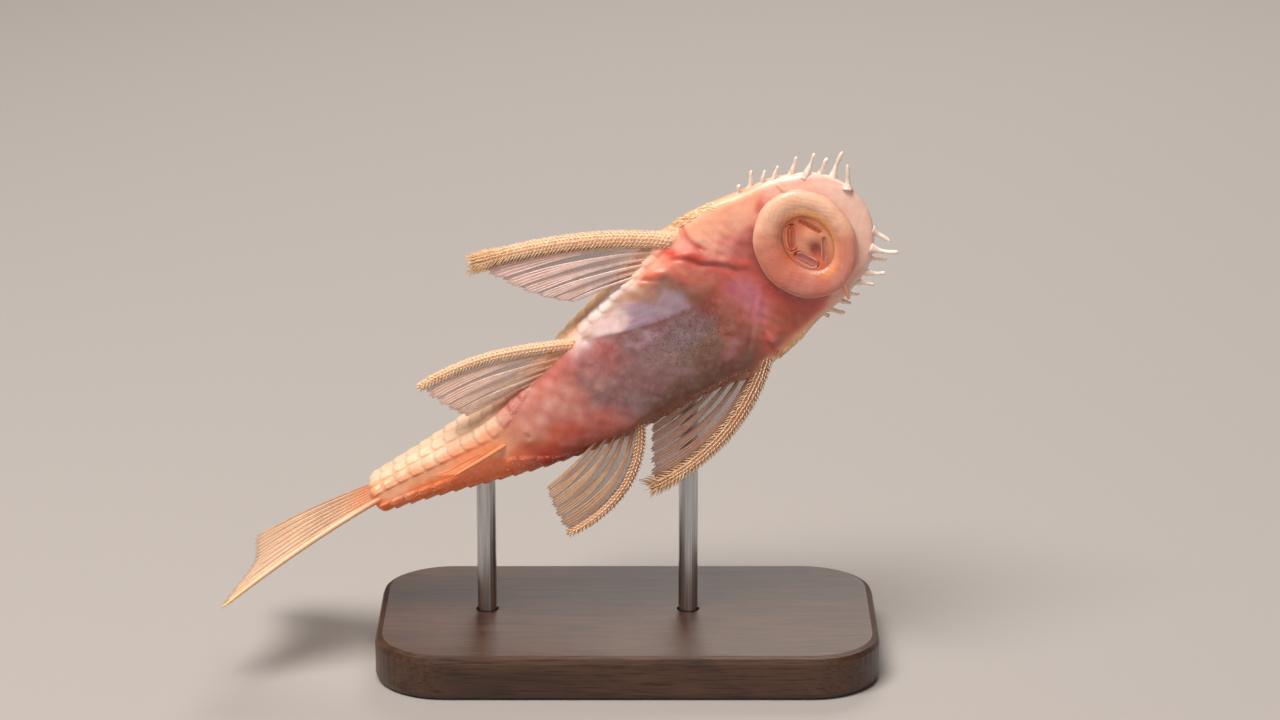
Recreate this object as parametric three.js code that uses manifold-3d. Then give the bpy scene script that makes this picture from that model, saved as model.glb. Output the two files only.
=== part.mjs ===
// Albino bristlenose pleco, life size, held on a plain display stand: belly towards -Y, head up and to +X.
// Millimetres, +Z up. The origin is the centre of the underside of the stand's base.
// A point of the fish is (s, l, d): s along the spine from the snout, l to its left, d above the belly plane.

import * as THREE from "three";
import { mergeVertices } from "three/addons/utils/BufferGeometryUtils.js";
import Module from "manifold-3d";

const wasm = await Module();
wasm.setup();

// Driving dimensions
const STANDARD_LENGTH = 90;
const GAP = 0.3;
const SNOUT_X = 36.1;
const SNOUT_Z = 73.7;
const BELLY_PLANE_TO_CENTRE = 8;
const NECK_CUT = 26;
const TAIL_CUT = 63.5;

// Heading of the spine above the horizontal, in degrees, at stations along it
const HEADING = [[0, 29], [25, 36.7], [40, 38], [52, 35.6], [62, 28.6], [74, 25.6], [90, 25.6]];

// Body stations: half width, height of the back, of the belly and of the widest line above the belly plane
const HALF_WIDTH = [
  [0, 7.6], [5, 9.0], [10, 10.8], [15, 11.6], [20, 12.4], [27, 12.9], [33, 12.2],
  [40, 10.8], [48, 9.6], [56, 7.9], [65, 6.3], [78, 4.1], [90, 2.4],
];
const BACK = [
  [0, 4.6], [5, 8.2], [10, 11.2], [15, 13.4], [20, 15.0], [27, 16.8],
  [38, 18.4], [50, 17.4], [60, 15.8], [70, 14.0], [84, 12.6], [90, 13.0],
];
const BELLY = [
  [0, 2.4], [6, 2.0], [18, 2.0], [27, 1.1], [34, 0.2], [42, -0.6],
  [52, -0.2], [60, 0.4], [66, 1.0], [75, 2.3], [84, 3.3], [90, 3.2],
];
const WIDEST = [[0, 3.4], [10, 4.0], [20, 5.0], [28, 6.0], [40, 7.5], [55, 7.0], [70, 7.5], [90, 8.1]];
const SNOUT_ROUNDING = 6;
const SNOUT_LIP = 4;
const TAIL_ROUNDING = 2;
const BACK_FULLNESS = 2.2;
const BELLY_FULLNESS = 3.0;

// Bony plates: five rows a side, each row a run of shingles whose hind edge stands proud
const PLATES_FROM = 27.5;
const PLATES_TO = 89;
const PLATES_IN_A_ROW = 26;
const PLATE_RISE = 0.36;
const PLATE_STEP = 0.14;
const PLATE_BULGE = 0.7;
const TRUNK_ROWS = [5, 31, 57, 80, 104, 128];
const TAIL_ROWS = [6, 38, 70, 102, 137, 172];
const BELLY_COLUMNS = 4;

const clamp = (x, low, high) => Math.min(high, Math.max(low, x));
const mix = (a, b, t) => a + (b - a) * t;
const smooth = (a, b, x) => {
  const t = clamp((x - a) / (b - a), 0, 1);
  return t * t * (3 - 2 * t);
};
const bump = (x, width) => Math.exp(-((x / width) ** 2));
const radians = THREE.MathUtils.degToRad;

// A smooth curve through stations [s, value], with Catmull-Rom slopes
function profile(stations, s) {
  const last = stations.length - 1;
  let i = 0;
  while (i < last - 1 && s > stations[i + 1][0]) i += 1;
  const slope = (k) => {
    const a = stations[Math.max(k - 1, 0)];
    const b = stations[Math.min(k + 1, last)];
    return (b[1] - a[1]) / (b[0] - a[0]);
  };
  const [s0, a] = stations[i];
  const [s1, b] = stations[i + 1];
  const h = s1 - s0;
  const t = clamp((s - s0) / h, 0, 1);
  return (
    a * (1 + 2 * t) * (1 - t) ** 2 + slope(i) * h * t * (1 - t) ** 2 +
    b * t * t * (3 - 2 * t) + slope(i + 1) * h * t * t * (t - 1)
  );
}

// The spine: the heading integrated in half-millimetre steps from the snout back
const SPINE_STEP = 0.5;
const SPINE_END = 125;
const spine = [{ x: SNOUT_X, z: SNOUT_Z }];
for (let s = SPINE_STEP; s <= SPINE_END; s += SPINE_STEP) {
  const heading = radians(profile(HEADING, s - SPINE_STEP / 2));
  const before = spine[spine.length - 1];
  spine.push({ x: before.x - SPINE_STEP * Math.cos(heading), z: before.z - SPINE_STEP * Math.sin(heading) });
}

// Where a point of the fish lies in the part's frame
function place(s, l, d) {
  const i = clamp(Math.floor(s / SPINE_STEP), 0, spine.length - 2);
  const t = s / SPINE_STEP - i;
  const heading = radians(profile(HEADING, clamp(s, 0, STANDARD_LENGTH)));
  return new THREE.Vector3(
    mix(spine[i].x, spine[i + 1].x, t) + l * Math.sin(heading),
    d - BELLY_PLANE_TO_CENTRE,
    mix(spine[i].z, spine[i + 1].z, t) - l * Math.cos(heading),
  );
}

// Solids, unions and cuts

function solidOf(geometry) {
  const bare = geometry.index ? geometry.toNonIndexed() : geometry;
  const only = new THREE.BufferGeometry().setAttribute("position", bare.getAttribute("position"));
  const merged = mergeVertices(only, 1e-4);
  return new wasm.Manifold(new wasm.Mesh({
    numProp: 3,
    vertProperties: new Float32Array(merged.attributes.position.array),
    triVerts: new Uint32Array(merged.index.array),
  }));
}

function geometryOf(solid) {
  const mesh = solid.getMesh();
  const position = new Float32Array(mesh.numVert * 3);
  for (let i = 0; i < mesh.numVert; i += 1) {
    for (let k = 0; k < 3; k += 1) position[i * 3 + k] = mesh.vertProperties[i * mesh.numProp + k];
  }
  const geometry = new THREE.BufferGeometry();
  geometry.setAttribute("position", new THREE.BufferAttribute(position, 3));
  geometry.setIndex(new THREE.BufferAttribute(new Uint32Array(mesh.triVerts), 1));
  return geometry;
}

const largest = (solid) => solid.decompose().sort((a, b) => b.volume() - a.volume())[0];
const joined = (solids) => largest(solids.reduce((whole, piece) => whole.add(piece)));

// A closed surface from rings of points, each ring closed, with a pole at each end
function ringsSolid(rings, firstPole, lastPole) {
  const n = rings[0].length;
  const points = [firstPole, ...rings.flat(), lastPole];
  const end = points.length - 1;
  const faces = [];
  for (let j = 0; j < n; j += 1) {
    const k = (j + 1) % n;
    faces.push([0, 1 + k, 1 + j]);
    faces.push([end, end - n + j, end - n + k]);
    for (let i = 0; i < rings.length - 1; i += 1) {
      const a = 1 + i * n;
      faces.push([a + j, a + k, a + n + k], [a + j, a + n + k, a + n + j]);
    }
  }
  return facesSolid(points, faces);
}

function facesSolid(points, faces) {
  const geometry = new THREE.BufferGeometry().setFromPoints(points);
  geometry.setIndex(faces.flat());
  const solid = solidOf(geometry);
  if (solid.volume() > 0) return solid;
  geometry.setIndex(faces.map(([a, b, c]) => [a, c, b]).flat());
  return solidOf(geometry);
}

// A thin sheet with a thickness: points, normals and half thicknesses on a grid, closed round its rim
function sheetSolid(rows) {
  const m = rows.length;
  const n = rows[0].length;
  const points = [];
  for (const side of [1, -1]) {
    rows.forEach((row, i) => row.forEach((cell, j) => {
      const along = rows[Math.min(i + 1, m - 1)][j].point.clone().sub(rows[Math.max(i - 1, 0)][j].point);
      const across = row[Math.min(j + 1, n - 1)].point.clone().sub(row[Math.max(j - 1, 0)].point);
      const normal = along.cross(across).normalize();
      points.push(cell.point.clone().addScaledVector(normal, side * cell.half));
    }));
  }
  const at = (side, i, j) => side * m * n + i * n + j;
  const faces = [];
  const quad = (a, b, c, d) => faces.push([a, b, c], [a, c, d]);
  for (let i = 0; i < m - 1; i += 1) {
    for (let j = 0; j < n - 1; j += 1) {
      faces.push([at(0, i, j), at(0, i + 1, j), at(0, i + 1, j + 1)]);
      faces.push([at(0, i, j), at(0, i + 1, j + 1), at(0, i, j + 1)]);
      faces.push([at(1, i, j), at(1, i + 1, j + 1), at(1, i + 1, j)]);
      faces.push([at(1, i, j), at(1, i, j + 1), at(1, i + 1, j + 1)]);
    }
    quad(at(0, i, 0), at(1, i, 0), at(1, i + 1, 0), at(0, i + 1, 0));
    quad(at(0, i, n - 1), at(0, i + 1, n - 1), at(1, i + 1, n - 1), at(1, i, n - 1));
  }
  for (let j = 0; j < n - 1; j += 1) {
    quad(at(0, 0, j), at(0, 0, j + 1), at(1, 0, j + 1), at(1, 0, j));
    quad(at(0, m - 1, j), at(1, m - 1, j), at(1, m - 1, j + 1), at(0, m - 1, j + 1));
  }
  return facesSolid(points, faces);
}

// A tapered spike with a round tip from a root point along a direction, bending a little towards "lean"
function spikeSolid(root, direction, length, radius, sides = 5, lean = new THREE.Vector3()) {
  const along = direction.clone().normalize();
  const across = new THREE.Vector3(0.3, 0.5, 0.81).cross(along).normalize();
  const third = along.clone().cross(across);
  const levels = sides > 4 ? [[0, 1], [0.55, 0.72], [0.93, 0.42]] : [[0, 1], [0.6, 0.6]];
  const rings = levels.map(([t, width]) => Array.from({ length: sides }, (_, j) => {
    const a = (2 * Math.PI * j) / sides;
    return root.clone().addScaledVector(along, t * length).addScaledVector(lean, t * t * length)
      .addScaledVector(across, Math.cos(a) * radius * width)
      .addScaledVector(third, Math.sin(a) * radius * width);
  }));
  const tip = root.clone().addScaledVector(along, length).addScaledVector(lean, length);
  return ringsSolid(rings, root, tip);
}

// Body surface

const tipOf = (x, reach) => Math.sqrt(Math.max(0, 1 - (1 - clamp(x / reach, 0, 1)) ** 2));

// Angle from the middle of the back of each column, in degrees, and its place in its plate row
function columnsAt(s) {
  const turn = smooth(55, 68, s);
  const edges = TRUNK_ROWS.map((angle, k) => mix(angle, TAIL_ROWS[k], turn));
  const columns = [{ angle: 0, row: -1, share: 0 }];
  for (let k = 0; k < edges.length - 1; k += 1) {
    for (const share of [0, 0.22, 0.78]) {
      columns.push({ angle: mix(edges[k], edges[k + 1], share), row: k, share });
    }
  }
  for (let k = 0; k < BELLY_COLUMNS; k += 1) {
    columns.push({ angle: mix(edges[5], 180, k / BELLY_COLUMNS), row: -1, share: 0 });
  }
  columns.push({ angle: 180, row: -1, share: 0 });
  return columns;
}

// Low relief of the head: brow over each eye, ridge of the skull, cheek pad, hollow behind the lips
function headRelief(s, angle) {
  const brow = 0.9 * bump(s - 20, 3.5) * bump(angle - 24, 11);
  const crest = 0.5 * bump(s - 26, 4) * bump(angle, 12);
  const cheek = 0.5 * bump(s - 21, 4) * bump(angle - 100, 14);
  const throat = -0.5 * bump(s - 20, 2.5) * bump(angle - 180, 45);
  return brow + crest + cheek + throat;
}

// Section of the body at s: half width, back, belly and widest line, closed over the snout and the tail's end
function section(s) {
  const closing = tipOf(STANDARD_LENGTH - s + 0.01, TAIL_ROUNDING);
  const wide = profile(HALF_WIDTH, s) * tipOf(s, SNOUT_ROUNDING) * closing;
  const tall = tipOf(s, SNOUT_LIP) * closing;
  const middle = profile(WIDEST, s);
  return { wide, middle, up: (profile(BACK, s) - middle) * tall, down: (middle - profile(BELLY, s)) * tall };
}

function bodyPoint(s, angle, side, raise) {
  const { wide, middle, up, down } = section(s);
  const a = radians(angle);
  const power = 2 / (angle < 90 ? BACK_FULLNESS : BELLY_FULLNESS);
  const l = wide * Math.abs(Math.sin(a)) ** power + raise * Math.sin(a);
  const c = Math.cos(a);
  const d = middle + (c > 0 ? up : down) * Math.sign(c) * Math.abs(c) ** power + raise * c;
  return place(s, side * l, d);
}

// Rings of the body: head rings closer together at the snout, then two for each plate
function bodyStations() {
  const stations = [];
  const headRings = 11;
  for (let i = 1; i <= headRings; i += 1) {
    stations.push({ s: PLATES_FROM * (i / headRings) ** 1.6 - (i === headRings ? 0.6 : 0), plate: 0 });
  }
  const pitch = (PLATES_TO - PLATES_FROM) / PLATES_IN_A_ROW;
  for (let k = 0; k < PLATES_IN_A_ROW; k += 1) {
    stations.push({ s: PLATES_FROM + k * pitch + PLATE_STEP, plate: 0.05 });
    stations.push({ s: PLATES_FROM + (k + 1) * pitch, plate: 1 });
  }
  stations.push({ s: PLATES_TO + PLATE_STEP, plate: 0 }, { s: STANDARD_LENGTH - 0.3, plate: 0 });
  return stations;
}

function bodySolid(grow) {
  const rings = bodyStations().map(({ s, plate }) => {
    const side = columnsAt(s).map(({ angle, row, share }) => {
      const onPlate = row >= 0 && share > 0;
      const inRow = row >= 0 && s > PLATES_FROM && s < PLATES_TO;
      const hind = inRow ? (share > 0 ? PLATE_BULGE / 2 : -PLATE_BULGE / 2) : 0;
      const raise = grow + headRelief(s, angle) + (onPlate ? PLATE_RISE * plate : 0);
      return { s: s + hind, angle, raise };
    });
    const left = side.map((c) => bodyPoint(c.s, c.angle, 1, c.raise));
    const right = side.slice(1, -1).reverse().map((c) => bodyPoint(c.s, c.angle, -1, c.raise));
    return [...left, ...right];
  });
  return ringsSolid(rings, place(-grow, 0, profile(WIDEST, 0)), place(STANDARD_LENGTH + grow, 0, 8.1));
}

// A slab across the spine at s, as thick as the gap between two nodes
function slabAt(s) {
  const slab = new THREE.BoxGeometry(GAP, 80, 80);
  const heading = radians(profile(HEADING, s));
  slab.rotateY(-heading);
  const middle = place(s, 0, BELLY_PLANE_TO_CENTRE);
  slab.translate(middle.x, middle.y, middle.z);
  return solidOf(slab);
}

// Eyes, nostrils, bristles

const EYE = { s: 19.6, l: 8.1, d: 10.8, radius: 2.2 };
const NOSTRIL = { s: 13.4, l: 4.3, d: 11.9, radius: 0.8 };

const ball = (centre, radius, turns) => {
  const sphere = new THREE.SphereGeometry(radius, turns, Math.round(turns * 0.6));
  sphere.translate(centre.x, centre.y, centre.z);
  return solidOf(sphere);
};

// Bristles along the snout's edge: place along the spine and length, from the cheek to the tip
const BRISTLES = [
  [15.6, 1.3], [14.0, 2.5], [12.0, 1.9], [10.2, 1.9], [8.0, 2.6],
  [5.9, 3.0], [4.1, 2.2], [2.6, 3.5], [1.2, 2.6],
];
const BRISTLE_RADIUS = 0.45;

function bristles() {
  const made = [];
  for (const side of [1, -1]) {
    BRISTLES.forEach(([s, length], k) => {
      const edge = profile(HALF_WIDTH, s) * tipOf(s, SNOUT_ROUNDING);
      const height = profile(WIDEST, s) + 0.5 * Math.sin(k * 2.3 + side);
      const root = place(s, side * (edge - 0.9), height);
      const outward = place(s - 1.6 - 2.0 * (1 - s / 16), side * (edge + 1.4), height).sub(root);
      made.push(spikeSolid(root, outward, length + 0.9, BRISTLE_RADIUS, 5, new THREE.Vector3(0, -0.12, 0.1)));
    });
  }
  return made;
}

// Cheek spines: a patch of short hooked bristles low on each side behind the mouth's corner
function cheekSpines() {
  const made = [];
  for (const side of [1, -1]) {
    for (let k = 0; k < 10; k += 1) {
      const s = 19 + 0.62 * k;
      const angle = 86 + 9 * (k % 3);
      const root = bodyPoint(s, angle, side, -0.5);
      const out = bodyPoint(s + 1.6, angle, side, 1.4).sub(root);
      made.push(spikeSolid(root, out, 1.6, 0.3, 4));
    }
  }
  return made;
}

// Mouth: a round sucker of soft lips round the opening, with a short barbel at each corner

const MOUTH = { s: 10.2, halfWidth: 8.9, front: 6.9, back: 8.0, openWidth: 4.5, openLength: 3.1 };

function mouthSolid(head) {
  const turns = 44;
  const rings = [];
  for (let j = 0; j < turns; j += 1) {
    const a = (2 * Math.PI * j) / turns;
    const along = -Math.cos(a);
    const across = Math.sin(a);
    const reach = along < 0 ? MOUTH.front : MOUTH.back;
    const wave = 1 + 0.015 * Math.cos(2 * a) + 0.012 * Math.sin(3 * a + 0.6);
    const path = [
      [0.0, 2.7], [0.0, 1.7], [0.16, 0.8], [0.42, 0.2], [0.72, 0.15],
      [0.92, 0.5], [1.0, 1.1], [0.93, 1.8], [0.74, 2.7],
    ];
    rings.push(path.map(([t, d]) => place(
      MOUTH.s + mix(MOUTH.openLength, reach * wave, t) * along,
      mix(MOUTH.openWidth, MOUTH.halfWidth * wave, t) * across,
      d,
    )));
  }
  return largest(torusSolid(rings).subtract(head));
}

// A closed surface from rings of points that run round and meet: each ring is one section of a fat hoop
function torusSolid(rings) {
  const m = rings.length;
  const n = rings[0].length;
  const faces = [];
  for (let i = 0; i < m; i += 1) {
    for (let j = 0; j < n; j += 1) {
      const a = i * n + j;
      const b = i * n + ((j + 1) % n);
      const c = ((i + 1) % m) * n + ((j + 1) % n);
      const d = ((i + 1) % m) * n + j;
      faces.push([a, b, c], [a, c, d]);
    }
  }
  return facesSolid(rings.flat(), faces);
}

function barbels() {
  return [1, -1].map((side) => {
    const root = place(MOUTH.s - 1.6, side * (MOUTH.halfWidth - 1.3), 1.2);
    const out = place(MOUTH.s - 0.6, side * (MOUTH.halfWidth + 1.6), 0.9).sub(root);
    return spikeSolid(root, out, 2.9, 0.62, 6);
  });
}

// Jaws: a low bent bar in front in the opening and one behind, their angles away from each other, with teeth
function jawSolid(front) {
  const bow = front ? -1 : 1;
  const at = (t, s, d) => place(MOUTH.s + s + bow * (2.35 - 1.65 * Math.abs(t) ** 1.1), t * 3.4, d);
  const steps = 10;
  const rings = Array.from({ length: steps + 1 }, (_, i) => {
    const t = -1 + (2 * i) / steps;
    const notch = 0.4 * bump(t, 0.12);
    return [at(t, -0.45, 2.3), at(t, -0.3, 1.2 + notch), at(t, 0.3, 1.2 + notch), at(t, 0.45, 2.3)];
  });
  const bar = ringsSolid(rings, at(-1.05, 0, 1.8), at(1.05, 0, 1.8));
  const teeth = [-0.8, -0.56, -0.32, 0.32, 0.56, 0.8].map((t) => {
    const root = at(t, 0, 1.6);
    return spikeSolid(root, at(t, -bow * 0.5, 0.5).sub(root), 1.1, 0.28, 4);
  });
  return joined([bar, ...teeth]);
}

// Fins: rays that fan from a root line, raised as ridges on a thin membrane

const RAY_COLUMNS = [[0, 1], [0.5, 0]];

// One fin. rootAt(i) is the root of the ray at share i, headingAt(i) and bendAt(i) its direction and how far
// it turns, in degrees, lengthAt(i) its length, and lie(point, along, out) puts a fin point on the fish.
function finSolid(fin) {
  const { rays, steps, rootAt, headingAt, bendAt, lengthAt, liftAt, membrane, ridge, spineRadius, lie } = fin;
  const columns = [];
  for (let k = 0; k < rays; k += 1) {
    for (const [share, isRay] of k === rays - 1 ? [[0, 1]] : RAY_COLUMNS) {
      columns.push({ i: (k + share) / (rays - 1), isRay, isSpine: k === 0 && isRay });
    }
  }
  const rows = Array.from({ length: steps + 1 }, (_, r) => {
    const t = r / steps;
    return columns.map(({ i, isRay, isSpine }) => {
      const length = lengthAt(i) * (isRay ? 1 : 0.97);
      const root = rootAt(i);
      let a = root[0];
      let b = root[1];
      const pieces = 8;
      for (let k = 0; k < pieces; k += 1) {
        const heading = radians(headingAt(i) + bendAt(i) * t * ((k + 0.5) / pieces));
        a += (length * t * Math.cos(heading)) / pieces;
        b += (length * t * Math.sin(heading)) / pieces;
      }
      const thin = mix(1, 0.5, smooth(0.8, 1, t));
      const proud = isRay ? ridge * mix(1, 0.4, t) : 0;
      const rise = isSpine ? spineRadius * mix(1, 0.45, t) : membrane + proud;
      return { point: lie(a, b, root[2] + liftAt(i, t)), half: rise * thin };
    });
  });
  return sheetSolid(rows);
}

// A fin in the plane of the belly, on one side: a is backwards along the spine and b is outwards
const flatLie = (side) => (a, b, height) => place(a, side * b, height);
// A fin in the middle plane: a is backwards and b is up from the belly plane
const uprightLie = (a, b, offset) => place(a, offset, b);

// The stout round spine along a fin's leading edge, with rows of short hooked bristles
function spineSolid(fin, side, radius, hooks) {
  const centre = (t) => {
    const root = fin.rootAt(0);
    let a = root[0];
    let b = root[1];
    const pieces = 8;
    for (let k = 0; k < pieces; k += 1) {
      const heading = radians(fin.headingAt(0) + fin.bendAt(0) * t * ((k + 0.5) / pieces));
      a += (fin.lengthAt(0) * t * Math.cos(heading)) / pieces;
      b += (fin.lengthAt(0) * t * Math.sin(heading)) / pieces;
    }
    return place(a, side * b, root[2] + fin.liftAt(0, t));
  };
  const steps = 9;
  const sides = 7;
  const frame = (t) => {
    const along = centre(Math.min(t + 0.02, 1.02)).sub(centre(t - 0.02)).normalize();
    const up = new THREE.Vector3(0, 1, 0);
    return { along, up, out: along.clone().cross(up).normalize().multiplyScalar(-side) };
  };
  const thick = (t) => radius * mix(1, 0.5, t ** 2);
  const rings = Array.from({ length: steps + 1 }, (_, i) => {
    const t = i / steps;
    const { up, out } = frame(t);
    return Array.from({ length: sides }, (__, j) => {
      const a = (2 * Math.PI * j) / sides;
      return centre(t)
        .addScaledVector(out, Math.cos(a) * thick(t))
        .addScaledVector(up, Math.sin(a) * thick(t) * 0.8);
    });
  });
  const made = [ringsSolid(rings, centre(-0.01), centre(1.02))];
  for (let k = 0; k < hooks; k += 1) {
    const t = mix(0.3, 0.97, k / (hooks - 1));
    const { along, up, out } = frame(t);
    const turn = radians([-55, 0, 55][k % 3]);
    const away = out.clone().multiplyScalar(Math.cos(turn)).addScaledVector(up, Math.sin(turn));
    const root = centre(t).addScaledVector(away, thick(t) * 0.5);
    const lean = away.clone().multiplyScalar(0.75).addScaledVector(along, 0.8);
    made.push(spikeSolid(root, lean, mix(1.3, 2.0, t), 0.26, 4));
  }
  return made;
}

function pairedFin(values, side) {
  const [rootOut, rootIn] = values.roots;
  return {
    rays: values.rays,
    steps: values.steps,
    rootAt: (i) => rootOut.map((v, k) => mix(v, rootIn[k], i)),
    headingAt: (i) => mix(values.heading[0], values.heading[1], i),
    bendAt: (i) => mix(values.bend[0], values.bend[1], i),
    lengthAt: (i) => mix(values.length[0], values.length[1], i ** 0.85),
    liftAt: (i, t) => values.drop * t + values.cup * Math.sin(Math.PI * i) * t,
    membrane: 0.26,
    ridge: 0.3,
    spineRadius: 0.3,
    lie: flatLie(side),
  };
}

// Paired fins as they lie in the pose: roots are [s, outwards, height]; the left ones are the lower pair
const PECTORAL = {
  left: {
    rays: 7, steps: 7, roots: [[25.6, 11.2, 3.9], [33.2, 8.6, 3.4]], heading: [40, 10], bend: [-52, -14],
    length: [29, 13.2], drop: 0, cup: -0.3,
  },
  right: {
    rays: 7, steps: 7, roots: [[26.2, 11.0, 3.2], [33.0, 10.0, 2.8]], heading: [46, 22], bend: [-31, -10],
    length: [33, 11.6], drop: -0.8, cup: -0.5,
  },
};
const PELVIC = {
  left: {
    rays: 6, steps: 7, roots: [[47.4, 7.4, 1.6], [52.6, 5.8, 1.7]], heading: [62, 18], bend: [-67, -8],
    length: [20.8, 11.6], drop: -1.2, cup: -0.4,
  },
  right: {
    rays: 6, steps: 7, roots: [[47.4, 7.6, 1.8], [55.0, 6.4, 2.4]], heading: [34, 6], bend: [-40, -8],
    length: [28.5, 14.6], drop: -1.2, cup: -0.4,
  },
};

const DORSAL = {
  rays: 8, steps: 7, rootAt: (i) => [mix(39, 56, i), profile(BACK, mix(39, 56, i)) - 2.2, 0],
  headingAt: (i) => mix(46, 27, i), bendAt: () => -10, lengthAt: (i) => mix(21, 13, i ** 0.9),
  liftAt: (i, t) => 0.8 * t * Math.sin(2.6 * i),
  membrane: 0.26, ridge: 0.3, spineRadius: 0.75, lie: uprightLie,
};
const ADIPOSE = {
  rays: 3, steps: 4, rootAt: (i) => [mix(74.4, 80.5, i), profile(BACK, mix(74.4, 80.5, i)) - 1.5, 0],
  headingAt: (i) => mix(34, 20, i), bendAt: () => -8, lengthAt: (i) => mix(9.2, 2.6, i),
  liftAt: () => 0, membrane: 0.26, ridge: 0.15, spineRadius: 0.6, lie: uprightLie,
};
const ANAL = {
  rays: 5, steps: 6, rootAt: (i) => [mix(65.2, 71, i), profile(BELLY, mix(65.2, 71, i)) + 1.5, 0],
  headingAt: (i) => mix(-40, -24, i), bendAt: () => 10, lengthAt: (i) => mix(11.4, 8.2, i),
  liftAt: (i, t) => -0.7 * t, membrane: 0.26, ridge: 0.25, spineRadius: 0.5, lie: uprightLie,
};
const CAUDAL = {
  rays: 16, steps: 7,
  rootAt: (i) => [STANDARD_LENGTH - 3.2 + 1.2 * Math.sin(Math.PI * i), mix(4.2, 12.4, i), 0],
  headingAt: (i) => mix(-19, 19, i), bendAt: (i) => mix(-6, 4, i),
  lengthAt: (i) => mix(31, 27.5, i) - 5.5 * Math.sin(Math.PI * i) ** 1.2,
  liftAt: (i, t) => 2.2 * t * t, membrane: 0.26, ridge: 0.3, spineRadius: 0.55, lie: uprightLie,
};

// Stand

const BASE = { length: 78, depth: 42, thickness: 7, corner: 11, edge: 1.1 };
const ROD = { radius: 1.5, sides: 16, sink: 3 };
const RODS = { front: { x: 9.5, y: 0.5, top: 62 }, rear: { x: -22, y: 0.5, top: 44 } };

function baseSolid() {
  const half = BASE.length / 2 - BASE.edge;
  const deep = BASE.depth / 2 - BASE.edge;
  const corner = BASE.corner - BASE.edge;
  const outline = new THREE.Shape();
  outline.absarc(half - corner, deep - corner, corner, 0, Math.PI / 2);
  outline.absarc(-half + corner, deep - corner, corner, Math.PI / 2, Math.PI);
  outline.absarc(-half + corner, -deep + corner, corner, Math.PI, 1.5 * Math.PI);
  outline.absarc(half - corner, -deep + corner, corner, 1.5 * Math.PI, 2 * Math.PI);
  const slab = new THREE.ExtrudeGeometry(outline, {
    depth: BASE.thickness - 2 * BASE.edge, bevelThickness: BASE.edge, bevelSize: BASE.edge,
    bevelSegments: 2, curveSegments: 6,
  });
  slab.translate(0, 0, BASE.edge);
  return Object.values(RODS).reduce((base, rod) => base.subtract(rodAt(rod, GAP, GAP)), solidOf(slab));
}

function rodAt({ x, y, top }, grow, deeper = 0) {
  const low = BASE.thickness - ROD.sink - deeper;
  const rod = new THREE.CylinderGeometry(ROD.radius + grow, ROD.radius + grow, top - low, ROD.sides);
  rod.rotateX(Math.PI / 2);
  rod.translate(x, y, (top + low) / 2);
  return solidOf(rod);
}

// Assembly

const COLOURS = {
  skin: 0xe9b48c, plates: 0xf0d2a6, lips: 0xe8a98a, eye: 0xb23a2a,
  jaw: 0xc98a4a, fin: 0xe6cda8, wood: 0x4a3226, steel: 0xb8bcc0,
};

const part = new THREE.Group();
const add = (name, solid, colour, roughness, metalness = 0) => {
  const mesh = new THREE.Mesh(
    geometryOf(solid),
    new THREE.MeshStandardMaterial({ color: COLOURS[colour], roughness, metalness }),
  );
  mesh.name = name;
  part.add(mesh);
};

const body = bodySolid(0);
const bodyAndGap = bodySolid(GAP);
const pieces = body.subtract(slabAt(NECK_CUT)).subtract(slabAt(TAIL_CUT)).decompose()
  .sort((a, b) => b.volume() - a.volume()).slice(0, 3)
  .sort((a, b) => b.boundingBox().max[0] - a.boundingBox().max[0]);
const [headPiece, torso, tail] = pieces;

let head = joined([headPiece, ...bristles(), ...cheekSpines()]);
for (const side of [1, -1]) {
  head = head.subtract(ball(place(EYE.s, side * EYE.l, EYE.d), EYE.radius + GAP, 14));
  head = head.subtract(ball(place(NOSTRIL.s, side * NOSTRIL.l, NOSTRIL.d), NOSTRIL.radius, 10));
}
add("head", largest(head), "skin", 0.5);
add("torso", torso, "plates", 0.55);
add("tail", tail, "plates", 0.55);
for (const [name, side] of [["left", 1], ["right", -1]]) {
  add(`eye_${name}`, ball(place(EYE.s, side * EYE.l, EYE.d), EYE.radius, 14), "eye", 0.1);
}
const jaws = { jaw_upper: jawSolid(true), jaw_lower: jawSolid(false) };
for (const [name, solid] of Object.entries(jaws)) add(name, largest(solid.subtract(bodyAndGap)), "jaw", 0.5);
add("mouth", joined([mouthSolid(bodyAndGap), ...barbels().map((b) => b.subtract(bodyAndGap))]), "lips", 0.4);

for (const [name, side] of [["left", 1], ["right", -1]]) {
  for (const [kind, fins, radius, hooks] of [["pectoral", PECTORAL, 1.1, 14], ["pelvic", PELVIC, 0.72, 6]]) {
    const fin = pairedFin(fins[name], side);
    const whole = joined([finSolid(fin), ...spineSolid(fin, side, radius, hooks)]);
    add(`${kind}_fin_${name}`, largest(whole.subtract(bodyAndGap)), "fin", 0.45);
  }
}
for (const [name, fin] of Object.entries({ dorsal: DORSAL, adipose: ADIPOSE, anal: ANAL, caudal: CAUDAL })) {
  add(`${name}_fin`, largest(finSolid(fin).subtract(bodyAndGap)), "fin", 0.45);
}

add("stand_base", baseSolid(), "wood", 0.5);
for (const [name, rod] of Object.entries(RODS)) {
  add(`stand_rod_${name}`, largest(rodAt(rod, 0).subtract(bodyAndGap)), "steel", 0.3, 1);
}

export default part;
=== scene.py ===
"""Albino bristlenose pleco: a still, life-size model held belly-on to the camera by a plain display stand."""

import math

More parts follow.
